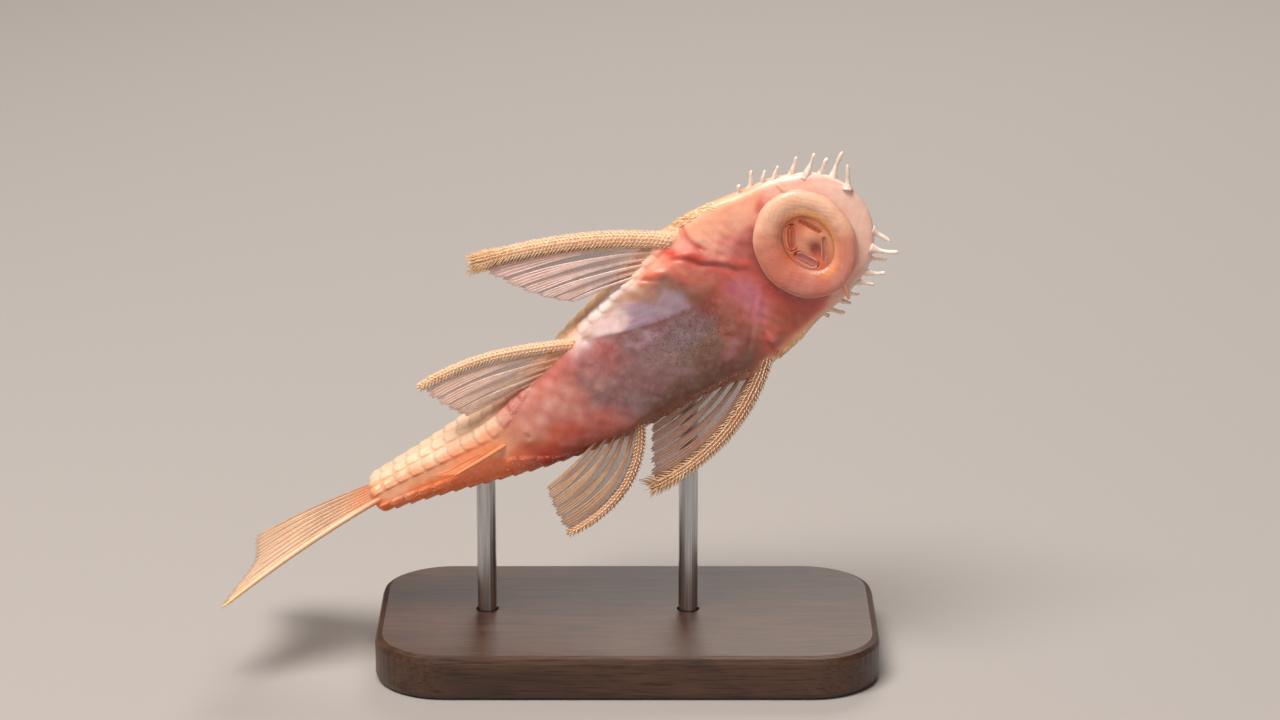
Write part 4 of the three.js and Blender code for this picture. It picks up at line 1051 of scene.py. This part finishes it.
for jaw_name, bow in (("jaw_upper", -1), ("jaw_lower", 1)):
    cup_points, cup_quads, cup_caps, cup_wash, tooth_paths = [], [], [], [], []
    section = dense(CUP_SECTION, CUP_COLUMNS)
    for side in (1, -1):
        share = np.linspace(0, 1, CUP_ROWS)
        middle_s, middle_left = cup_line(share, side, bow)
        along = unit(np.stack([np.gradient(middle_s), np.gradient(middle_left)], -1))
        width = CUP_HALF_WIDTH[jaw_name] * rounding(np.minimum(share, 1 - share) + 0.015, 0.3)
        v, height = section[:, 0], section[:, 1]
        s = middle_s[:, None] - along[:, 1:] * v * width[:, None]
        left = middle_left[:, None] + along[:, :1] * v * width[:, None]
        up = 0.84 + 0.06 * share[:, None] + height * (0.4 + 0.6 * width[:, None] / CUP_HALF_WIDTH[jaw_name])
        start = sum(len(block) for block in cup_points)
        block = fish_point(s, left, up).reshape(-1, 3)
        poles = np.stack([block[:CUP_COLUMNS].mean(0), block[-CUP_COLUMNS:].mean(0)])
        cup_points.append(np.concatenate([block, poles]))
        cup_quads.append(grid_quads(CUP_ROWS, CUP_COLUMNS, closed=True) + start)
        ring = start + np.arange(CUP_COLUMNS)
        pole = start + len(block)
        cup_caps.append(fan(pole, ring, turned=True))
        cup_caps.append(fan(pole + 1, (CUP_ROWS - 1) * CUP_COLUMNS + ring))
        inside = np.broadcast_to(1 - smooth(0.7, 0.95, np.abs(v)), s.shape)
        amber = np.broadcast_to(smooth(0.55, 1.0, share)[:, None], s.shape) * (side < 0)
        shade = paint(
            even_wash(s.shape, (222, 140, 114) if bow > 0 else (228, 138, 90)),
            ((196, 106, 104) if side > 0 else (190, 78, 58), inside), ((206, 84, 30), inside * amber),
        )
        cup_wash.append(np.concatenate([shade.reshape(-1, 3), shade[0, :1], shade[-1, :1]]))
        for k in range(TEETH_IN_A_CUP):
            place = 0.1 + 0.8 * (k + 0.5) / TEETH_IN_A_CUP
            tooth_s, tooth_left = cup_line(place, side, bow)
            u = np.linspace(0, 1, 7)
            tooth_paths.append(fish_point(
                tooth_s + bow * (0.42 - 0.3 * u ** 2), tooth_left + 0 * u, 1.12 - 0.2 * u,
            ))
    cups = mesh_piece(
        jaw_name + "_cups", np.concatenate(cup_points), np.concatenate(cup_quads), np.concatenate(cup_caps)
    )
    recalculate_outwards(cups)
    point_values(cups, "wash", np.concatenate(cup_wash))
    cups.data.materials.append(lip_material)
    tooth_radius = (0.034 - 0.014 * u) * rounding(1.05 - u, 0.2) / 1000
    teeth = tubes(jaw_name + "_teeth", tooth_paths, np.tile(tooth_radius, (len(tooth_paths), 1)), 6)
    teeth.data.materials.append(tooth_material)
    for piece in (cups, teeth):
        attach(piece, "root")
        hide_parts(jaw_name)


# Fins: each is a clear skin stretched over soft jointed rays that fork twice towards the edge, behind one
# stiff spine. The rays are pale and stand proud of the skin on both faces.
PECTORAL = {
    "left": {
        "rays": 7, "roots": [(25.6, 11.2, 3.9), (33.2, 8.6, 3.4)], "heading": (40, 10), "bend": (-52, -14),
        "length": (29, 13.2), "drop": 0.0, "cup": -0.3,
    },
    "right": {
        "rays": 7, "roots": [(26.2, 11.0, 3.2), (33.0, 10.0, 2.8)], "heading": (46, 22), "bend": (-31, -10),
        "length": (33, 11.6), "drop": -0.8, "cup": -0.5,
    },
}
PELVIC = {
    "left": {
        "rays": 6, "roots": [(47.4, 7.4, 1.6), (52.6, 5.8, 1.7)], "heading": (62, 18), "bend": (-67, -8),
        "length": (20.8, 11.6), "drop": -1.2, "cup": -0.4,
    },
    "right": {
        "rays": 6, "roots": [(47.4, 7.6, 1.8), (55.0, 6.4, 2.4)], "heading": (34, 6), "bend": (-40, -8),
        "length": (28.5, 14.6), "drop": -1.2, "cup": -0.4,
    },
}


def line(first, last):
    """A value that runs evenly from the spine to the last ray."""
    return lambda i: first * (1 - i) + last * i


def paired_fin(values, side):
    """A fin in the plane of the belly, whose values run evenly from its spine to its inmost ray."""
    outer, inner = (np.array(root) for root in values["roots"])
    return {
        "rays": values["rays"],
        "root": lambda i: outer * (1 - i[..., None]) + inner * i[..., None],
        "heading": line(*values["heading"]), "bend": line(*values["bend"]),
        "length": lambda i: values["length"][0] + (values["length"][1] - values["length"][0]) * i ** 0.85,
        "lift": lambda i, t: values["drop"] * t + values["cup"] * np.sin(np.pi * i) * t,
        "lie": lambda a, b, c: fish_point(a, side * b, c), "normal": (0.0, 1.0, 0.0),
    }


def upright_fin(rays, root, heading, bend, length, lift):
    """A fin in the middle plane of the fish, above or below it or behind the tail."""
    middle = root(np.array(0.5))[0]
    return {
        "rays": rays, "root": root, "heading": heading, "bend": bend, "length": length, "lift": lift,
        "lie": lambda a, b, c: fish_point(a, c, b),
        "normal": tuple(unit(fish_point(middle, 1, 0) - fish_point(middle, 0, 0))),
    }


def fin_place(fin, i, t, wave=0.0):
    """
    A point of a fin: i runs from its spine to its last ray and t from root to edge. From the root it goes
    along the ray's heading, which turns evenly by the ray's bend, and wave moves it off the fin's plane.
    """
    i, t, wave = np.broadcast_arrays(np.asarray(i, float), t, wave)
    root = fin["root"](i)
    a, b = root[..., 0].copy(), root[..., 1].copy()
    length = fin["length"](i)
    pieces = 8
    for k in range(pieces):
        heading = np.radians(fin["heading"](i) + fin["bend"](i) * t * ((k + 0.5) / pieces))
        a += length * t * np.cos(heading) / pieces
        b += length * t * np.sin(heading) / pieces
    return fin["lie"](a, b, root[..., 2] + fin["lift"](i, t) + wave)


def on_profile(stations, s_first, s_last, offset):
    """Roots of an upright fin along the back or the belly, sunk into it by offset."""
    def root(i):
        s = s_first * (1 - i) + s_last * i
        return np.stack([s, through(stations, s) + offset, np.zeros_like(s)], -1)
    return root


FINS = {}
for side_name, side in (("left", 1), ("right", -1)):
    FINS["pectoral_fin_" + side_name] = paired_fin(PECTORAL[side_name], side)
    FINS["pelvic_fin_" + side_name] = paired_fin(PELVIC[side_name], side)
FINS["dorsal_fin"] = upright_fin(
    8, on_profile(BACK, 39, 56, -2.2), line(46, 27), line(-10, -10),
    lambda i: 21 - 8 * i ** 0.9, lambda i, t: 0.8 * t * np.sin(2.6 * i),
)
FINS["adipose_fin"] = upright_fin(
    3, on_profile(BACK, 74.4, 80.5, -1.5), line(34, 20), line(-8, -8), line(9.2, 2.6), lambda i, t: 0 * t,
)
FINS["anal_fin"] = upright_fin(
    5, on_profile(BELLY, 65.2, 71, 1.5), line(-40, -24), line(10, 10), line(11.4, 8.2), lambda i, t: -0.7 * t,
)
FINS["caudal_fin"] = upright_fin(
    16, lambda i: np.stack([
        STANDARD_LENGTH - 3.2 + 1.2 * np.sin(np.pi * i), 4.2 + 8.2 * i, np.zeros_like(i),
    ], -1),
    line(-19, 19), line(-6, 4),
    lambda i: 31 - 3.5 * i - 5.5 * np.sin(np.pi * np.clip(i, 0, 1)) ** 1.2, lambda i, t: 2.2 * t * t,
)

web_material, tree, shader = plain_material("fin web", (236, 214, 200), 0.3)
shader.inputs["Coat Weight"].default_value = 0.3
shader.inputs["Coat Roughness"].default_value = 0.15
space = object_pattern(tree)
web_tint = noise(tree, space, 500, 4, 0.6)
tree.links.new(mix_colours(tree, 0.5, attribute(tree, "wash")["Vector"], ramp(tree, web_tint, [
    (0.3, (214, 176, 160)), (0.7, (255, 248, 240)),
]), "MULTIPLY"), shader.inputs["Base Color"])
tree.links.new(ramp(tree, attribute(tree, "cover")["Fac"], [
    (0.0, (0.36, 0.36, 0.36, 1)), (1.0, (0.86, 0.86, 0.86, 1)),
]), shader.inputs["Alpha"])
add_bump(tree, shader, noise(tree, space, 1800, 3), 0.3, 0.0001)

ray_material, tree, shader = plain_material("fin ray", (240, 214, 190), 0.4)
flesh(shader, 0.2, 0.42)
space = object_pattern(tree)
ray_tint = noise(tree, space, 900, 3, 0.6)
tree.links.new(mix_colours(tree, 0.5, attribute(tree, "wash")["Vector"], ramp(tree, ray_tint, [
    (0.3, (226, 190, 176)), (0.65, (255, 255, 255)),
]), "MULTIPLY"), shader.inputs["Base Color"])
add_bump(tree, shader, noise(tree, space, 4200, 2), 0.35, 0.00008)

# The left pectoral and pelvic fins take darker colours than the right ones: painted shade, as they hang away
# from the lamp.
FIN_COLOURS = {
    "pectoral_fin_right": {"root": (252, 206, 176), "ray": (246, 214, 206), "web": (132, 90, 84)},
    "pectoral_fin_left": {"root": (156, 94, 76), "ray": (200, 158, 142), "web": (104, 68, 58)},
    "pelvic_fin_right": {"root": (252, 190, 146), "ray": (250, 216, 198), "web": (164, 116, 102)},
    "pelvic_fin_left": {"root": (168, 104, 78), "ray": (216, 176, 144), "web": (112, 72, 56)},
    "dorsal_fin": {"root": (246, 200, 156), "ray": (248, 222, 196), "web": (216, 176, 152)},
    "adipose_fin": {"root": (246, 204, 160), "ray": (248, 222, 196), "web": (236, 196, 160)},
    "anal_fin": {"root": (236, 132, 84), "ray": (240, 150, 100), "web": (226, 118, 70)},
    "caudal_fin": {"root": (240, 150, 100), "ray": (246, 206, 172), "web": (190, 136, 106)},
}
WEB_HALF_THICKNESS = 0.1
WEB_ROWS = 56
WEB_COLUMNS_A_GAP = 14
RAY_HALF_WIDTH = {
    "pectoral": 0.3, "pelvic": 0.3, "dorsal": 0.28, "adipose": 0.24, "anal": 0.22, "caudal": 0.26,
}
RAY_FLATNESS = 0.62
RAY_SPREAD = 0.33
RAY_BRANCHES = {-1: 0.06, -0.34: 0.3, 0.34: 0.0, 1: 0.12}
RAY_STEPS = 84
RAY_SIDES = 8


def ray_spread(t):
    """How far a ray's outer branches stand from its middle, as a share of the gap between two rays."""
    return RAY_SPREAD * (0.3 * smooth(0.06, 0.4, t) + 0.7 * smooth(0.3, 0.85, t))


def fin_web(name, fin, colours):
    """
    The fin's clear skin: a sheet on the fin's place function with both faces, rippled between rays. It is
    thicker and paler where a ray's branches spread in it, and its edge is worn soft by small waves.
    """
    rays = fin["rays"]
    columns = (rays - 1) * WEB_COLUMNS_A_GAP + 1
    t, i = np.meshgrid(np.linspace(0, 1, WEB_ROWS), np.linspace(0, 1, columns), indexing="ij")
    from_ray = np.abs(i * (rays - 1) - np.round(i * (rays - 1)))
    between = np.sin(np.pi * i * (rays - 1)) ** 2
    worn = 0.010 * np.sin(i * rays * 17) + 0.007 * np.sin(i * rays * 41 + 1) + 0.02 * between
    reach = t * (1 - worn * smooth(0.75, 1, t))
    ripple = 0.13 * between * np.sin(np.pi * np.clip(t * 1.1, 0, 1))
    ripple = ripple * np.where(np.floor(i * (rays - 1)) % 2, 1, -1)
    half = WEB_HALF_THICKNESS * (1.15 - t)
    sheets = [fin_place(fin, i, reach, ripple + face * half) for face in (1, -1)]
    quads = grid_quads(WEB_ROWS, columns)
    number = np.arange(WEB_ROWS * columns).reshape(WEB_ROWS, columns)
    edge = np.concatenate([number[0], number[1:, -1], number[-1, -2::-1], number[-2:0:-1, 0]])
    beside = np.roll(edge, -1)
    rim = np.stack([edge, beside, beside + number.size, edge + number.size], -1)
    faces = np.concatenate([quads, quads[:, ::-1] + number.size, rim[:, ::-1]])
    web = mesh_piece(name + "_web", np.stack(sheets), faces)
    recalculate_outwards(web)
    spread = ray_spread(t)
    cover = 1 - smooth(spread + 0.02, spread + 0.14, from_ray)
    cover = np.maximum(cover, 1 - smooth(0.0, 0.22, t))
    shade = paint(
        even_wash(t.shape, colours["web"]),
        (colours["ray"], cover * 0.85),
        (colours["root"], (1 - smooth(0.05, 0.4, t)) * 0.85),
    )
    point_values(web, "wash", np.concatenate([shade.reshape(-1, 3)] * 2))
    point_values(web, "cover", np.tile((cover * (1 - 0.4 * smooth(0.6, 1, t))).ravel(), 2))
    web.data.materials.append(web_material)
    return web


def fin_rays(name, fin, colours, half_width):
    """
    The soft rays: each leaves the root as one flat ribbon, splits low down and again half way into four that
    spread evenly, and is ringed by its joints. Each branch is a flattened tube on the fin's place function;
    RAY_BRANCHES gives its place across the spread and where along the ray it starts.
    """
    rays = fin["rays"]
    gap = 1 / (rays - 1)
    t = np.linspace(0, 1, RAY_STEPS)
    paths = []
    radii = []
    for k in range(1, rays):
        length = fin["length"](np.array(k * gap))
        for branch, start in RAY_BRANCHES.items():
            end = 0.985 - 0.02 * abs(branch) - 0.008 * math.sin(k * 3.1 + branch * 5)
            along = start + (end - start) * t
            i = np.clip(k * gap + gap * branch * ray_spread(along), 0, 1)
            joints = 1 + 0.08 * np.cos(along * length * 2 * math.pi / 0.75)
            taper = half_width * (1 - 0.45 * smooth(0.02, 0.5, along) - 0.25 * smooth(0.5, 1, along)) * joints
            paths.append(fin_place(fin, i, along))
            radii.append(taper * rounding(1.01 - t, 0.06) * (0.4 + 0.6 * rounding(t + 0.02, 0.1)) / 1000)
    piece = tubes(name + "_rays", paths, radii, RAY_SIDES, RAY_FLATNESS, fin["normal"])
    reddened = (1 - smooth(0.02, 0.4, t)) * 0.85
    shade = paint(even_wash((1, RAY_STEPS), colours["ray"]), (colours["root"], reddened))
    shade = np.repeat(shade, len(paths), axis=0)
    per_tube = np.concatenate([np.repeat(shade, RAY_SIDES, axis=1), shade[:, :1], shade[:, -1:]], 1)
    point_values(piece, "wash", per_tube.reshape(-1, 3))
    piece.data.materials.append(ray_material)
    return piece


for fin_name, fin in FINS.items():
    kind = fin_name.split("_")[0]
    web = fin_web(fin_name, fin, FIN_COLOURS[fin_name])
    rays = fin_rays(fin_name, fin, FIN_COLOURS[fin_name], RAY_HALF_WIDTH[kind])
    for piece in (web, rays):
        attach(piece, "root")
        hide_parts(fin_name)


# Fin spines: the stiff first ray of each fin, stout in the pectorals, slightly flattened and rough as a file.
# Each is jointed into the girdle, so its root runs on a little way under the skin.
SPINE_RADIUS = {"pectoral": 1.1, "pelvic": 0.72, "dorsal": 0.72, "adipose": 0.6, "anal": 0.4, "caudal": 0.55}
SPINE_STEPS = 116
SPINE_SIDES = 22
SPINE_SUNK = {"pectoral": 0.08, "pelvic": 0.06}

spine_material, tree, shader = plain_material("spine skin", (250, 216, 176), 0.5)
flesh(shader, 0.18, 0.5)
rasp = pebbles(tree, object_pattern(tree), 3000)
tree.links.new(mix_colours(tree, 0.4, attribute(tree, "wash")["Vector"], ramp(tree, rasp, [
    (0.1, (255, 252, 246)), (0.55, (246, 214, 190)),
]), "MULTIPLY"), shader.inputs["Base Color"])
add_bump(tree, shader, rasp, 0.3, 0.00008)


def spine_thickness(radius, t):
    """A spine's radius at a share of its length: nearly even, then drawn to a blunt point."""
    t = np.clip(t, 0, 1)
    return radius * (1 - 0.15 * t - 0.35 * t ** 6)


for fin_name, fin in FINS.items():
    kind = fin_name.split("_")[0]
    spine_t = np.linspace(-SPINE_SUNK.get(kind, 0), 1, SPINE_STEPS)
    thick = spine_thickness(SPINE_RADIUS[kind], spine_t) * rounding(1.004 - spine_t, 0.09)
    path = fin_place(fin, np.zeros(SPINE_STEPS), spine_t)
    path[:, 1] += 0.0022 * (1 - smooth(-0.08, 0.05, spine_t)) * (kind in SPINE_SUNK)
    spine = tubes(fin_name + "_spine", path[None], thick[None] / 1000, SPINE_SIDES, 0.85, fin["normal"])
    colours = FIN_COLOURS[fin_name]
    shade = paint(
        even_wash((SPINE_STEPS,), (246, 204, 168)),
        (colours["root"], 1 - smooth(0.0, 0.25, spine_t)),
        ((250, 200, 134), smooth(0.7, 1, spine_t) * 0.8),
    )
    # Painted shade: the spines of the left fins are painted darker, most towards the root.
    if fin_name.endswith("left"):
        shade = paint(shade, ((176, 116, 84), 0.8 * (1 - 0.6 * smooth(0.3, 1, spine_t))))
    if kind == "anal":
        shade = paint(shade, (colours["ray"], np.full(SPINE_STEPS, 0.9)))
    corners = np.repeat(shade, SPINE_SIDES, axis=0)
    point_values(spine, "wash", np.concatenate([corners, shade[:1], shade[-1:]]))
    spine.data.materials.append(spine_material)
    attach(spine, "root")
    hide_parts(fin_name)


# Odontodes: tiny tooth-like hooks of enamel. They stud the spines in a diamond lattice like a file, grow to a
# brush at the pectoral's tip, stand in a patch on the cheek and prick the plates.
dice = np.random.default_rng(11)


def hooks(name, roots, directions, lengths, radii, sweeps, unwrap, sides=5):
    """
    Many small curved cones in one mesh: each leaves its root along its direction and sweeps over, tapering to
    its tip. unwrap gives each root's place on a flat unwrap of the skin, where its faces take a small patch.
    """
    t = np.array([0.0, 0.35, 0.7, 1.0])
    width = np.array([1.0, 0.8, 0.5, 0.12])
    roots, directions, sweeps = (np.asarray(v, float) for v in (roots, directions, sweeps))
    lengths = np.asarray(lengths, float)
    paths = roots[:, None] + t[None, :, None] * lengths[:, None, None] * directions[:, None]
    paths = paths + (t ** 2)[None, :, None] * lengths[:, None, None] * sweeps[:, None]
    piece = tubes(name, paths, np.asarray(radii, float)[:, None] * width[None], sides)
    per_hook = len(t) * sides + 2
    share = np.concatenate([np.repeat(t, sides), [0.0, 1.0]])
    size = np.clip((lengths * 1000 - 0.2) / 0.9, 0, 1)
    point_values(piece, "tip", (share[None] * (0.45 + 0.55 * size[:, None])).ravel())
    corner_vertex = np.empty(len(piece.data.loops), np.int32)
    piece.data.loops.foreach_get("vertex_index", corner_vertex)
    which = corner_vertex // per_hook
    local = corner_vertex % per_hook
    round_share = (local % sides) / sides
    uv = np.stack([
        unwrap[which, 0] + 0.003 * (round_share - 0.5), unwrap[which, 1] + 0.003 * (share[local] - 0.5),
    ], -1)
    piece.data.uv_layers.new(name="OFBake").data.foreach_set("uv", np.clip(uv, 0, 1).ravel())
    return piece


hook_material, tree, shader = plain_material("odontode enamel", (248, 206, 156), 0.35)
shader.inputs["Subsurface Weight"].default_value = 0.15
shader.inputs["Subsurface Radius"].default_value = (0.0005, 0.0003, 0.0002)
along_hook = ramp(tree, attribute(tree, "tip")["Fac"], [
    (0.0, (255, 240, 222)), (0.5, (255, 226, 184)), (1.0, (240, 182, 112)),
])
hook_tint = noise(tree, object_pattern(tree), 700, 2)
tree.links.new(mix_colours(tree, 0.4, along_hook, ramp(tree, hook_tint, [
    (0.35, (232, 196, 170)), (0.65, (255, 255, 255)),
]), "MULTIPLY"), shader.inputs["Base Color"])

HOOK_PITCH = 0.6


def spine_hooks(fin, side, radius, mean_length, around, shortest, fringe, brush):
    """
    Hooks in a diamond lattice on a fin's spine, leaning towards its tip: short all over, longer along the
    outer edge by fringe and towards the tip by brush.
    """
    rows = int(mean_length / HOOK_PITCH)
    row, place = (v.ravel() for v in np.meshgrid(np.arange(rows), np.arange(around), indexing="ij"))
    count = len(row)
    t = 0.03 + 0.96 * (row + 0.5 * (place % 2) + dice.uniform(-0.12, 0.12, count)) / rows
    turn = place / around * 2 * math.pi + dice.uniform(-0.05, 0.05, count)
    centre = fin_place(fin, np.zeros(count), t)
    ahead = unit(fin_place(fin, np.zeros(count), t + 0.01) - fin_place(fin, np.zeros(count), t - 0.01))
    upward = np.broadcast_to(np.array([0.0, 1.0, 0.0]), ahead.shape)
    out = unit(np.cross(ahead, upward)) * -side
    away = np.cos(turn)[:, None] * out + 0.85 * np.sin(turn)[:, None] * upward
    thick = spine_thickness(radius, t) * rounding(1.004 - t, 0.09)
    roots = centre + away * thick[:, None] * 0.95 / 1000
    outer = np.clip(np.cos(turn), 0, 1)
    lengths = shortest + fringe * outer ** 2 * smooth(0.05, 0.3, t) + brush * smooth(0.72, 1, t)
    lengths = lengths * dice.uniform(0.8, 1.2, count)
    unwrap = np.stack([0.1 + 0.8 * t, 0.1 + 0.8 * (turn / (2 * math.pi)) % 1], -1)
    return (
        roots, unit(away + 0.8 * ahead), lengths / 1000, (0.1 + 0.03 * lengths) / 1000, 0.3 * ahead, unwrap,
    )


# For each fin: its side, its spine's radius and length, how many hooks stand round it, and the shortest hook's
# length, the fringe and the brush, all in millimetres.
HOOKS = {
    "pectoral_fin_left": (1, SPINE_RADIUS["pectoral"], 29, 14, 0.5, 0.5, 0.8),
    "pectoral_fin_right": (-1, SPINE_RADIUS["pectoral"], 33, 14, 0.5, 0.5, 0.8),
    "pelvic_fin_left": (1, SPINE_RADIUS["pelvic"], 21, 10, 0.36, 0.3, 0.12),
    "pelvic_fin_right": (-1, SPINE_RADIUS["pelvic"], 28, 10, 0.36, 0.3, 0.12),
}
for fin_name, values in HOOKS.items():
    piece = hooks(fin_name + "_hooks", *spine_hooks(FINS[fin_name], *values))
    piece.data.materials.append(hook_material)
    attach(piece, "root")
    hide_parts(fin_name)


def on_body(s, turn, lift):
    """A point on the skin, lifted off it, in metres."""
    relief = head_relief(s, turn, *body_place(s, turn)) + plate_pattern(s, turn)[0]
    return fish_point(s, *body_place(s, turn, relief + lift))


def planted(s, turn, depth):
    """Roots sunk into the skin by depth, the directions out of it and back along it, and their unwrap."""
    root = on_body(s, turn, -depth)
    out = unit(on_body(s, turn, 1.0) - root)
    back = unit(on_body(s + 1.0, turn, 0.0) - on_body(s, turn, 0.0))
    return root, out, back, np.stack([s / 92, (turn + 180) / 362], -1)


CHEEK_HOOKS = 150
CHEEK_PATCH = {"from": 18.4, "length": 7.4, "turn": 98, "reach": 13}
cheek_side = np.where(np.arange(2 * CHEEK_HOOKS) < CHEEK_HOOKS, 1, -1)
cheek_s = CHEEK_PATCH["from"] + CHEEK_PATCH["length"] * dice.uniform(0, 1, 2 * CHEEK_HOOKS)
cheek_turn = CHEEK_PATCH["turn"] + CHEEK_PATCH["reach"] * dice.uniform(-1, 1, 2 * CHEEK_HOOKS)
cheek_turn = cheek_side * cheek_turn
root, out, back, unwrap = planted(cheek_s, cheek_turn, 0.15)
cheek_length = dice.uniform(0.45, 0.8, 2 * CHEEK_HOOKS) + 0.5 * hill(cheek_s - 23, 1.6)
cheeks = hooks(
    "cheek_odontodes", root, unit(0.55 * out + back), cheek_length / 1000,
    np.full(2 * CHEEK_HOOKS, 0.1 / 1000), 0.3 * back, unwrap, 7,
)
cheeks.data.materials.append(hook_material)
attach(cheeks, "root")
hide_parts("head")

PRICKS_TRIED = 8000
PRICKS_ALONG = (27.8, 88.8)
PRICKS_AROUND = (6, 172)
prick_s = dice.uniform(*PRICKS_ALONG, PRICKS_TRIED)
prick_turn = dice.uniform(*PRICKS_AROUND, PRICKS_TRIED) * np.where(np.arange(PRICKS_TRIED) % 2, 1, -1)
_, prick_rim, prick_plated = plate_pattern(prick_s, prick_turn)
prick_keep = (prick_plated > 0) & (dice.uniform(0, 1, PRICKS_TRIED) < 0.3 + 0.7 * prick_rim)
prick_s, prick_turn = prick_s[prick_keep], prick_turn[prick_keep]
root, out, back, unwrap = planted(prick_s, prick_turn, 0.05)
pricks = hooks(
    "plate_odontodes", root, unit(0.6 * out + back), dice.uniform(0.16, 0.32, len(prick_s)) / 1000,
    np.full(len(prick_s), 0.04 / 1000), 0.2 * back, unwrap, 4,
)
pricks.data.materials.append(hook_material)
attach(pricks, "root")
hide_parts("torso", "tail")
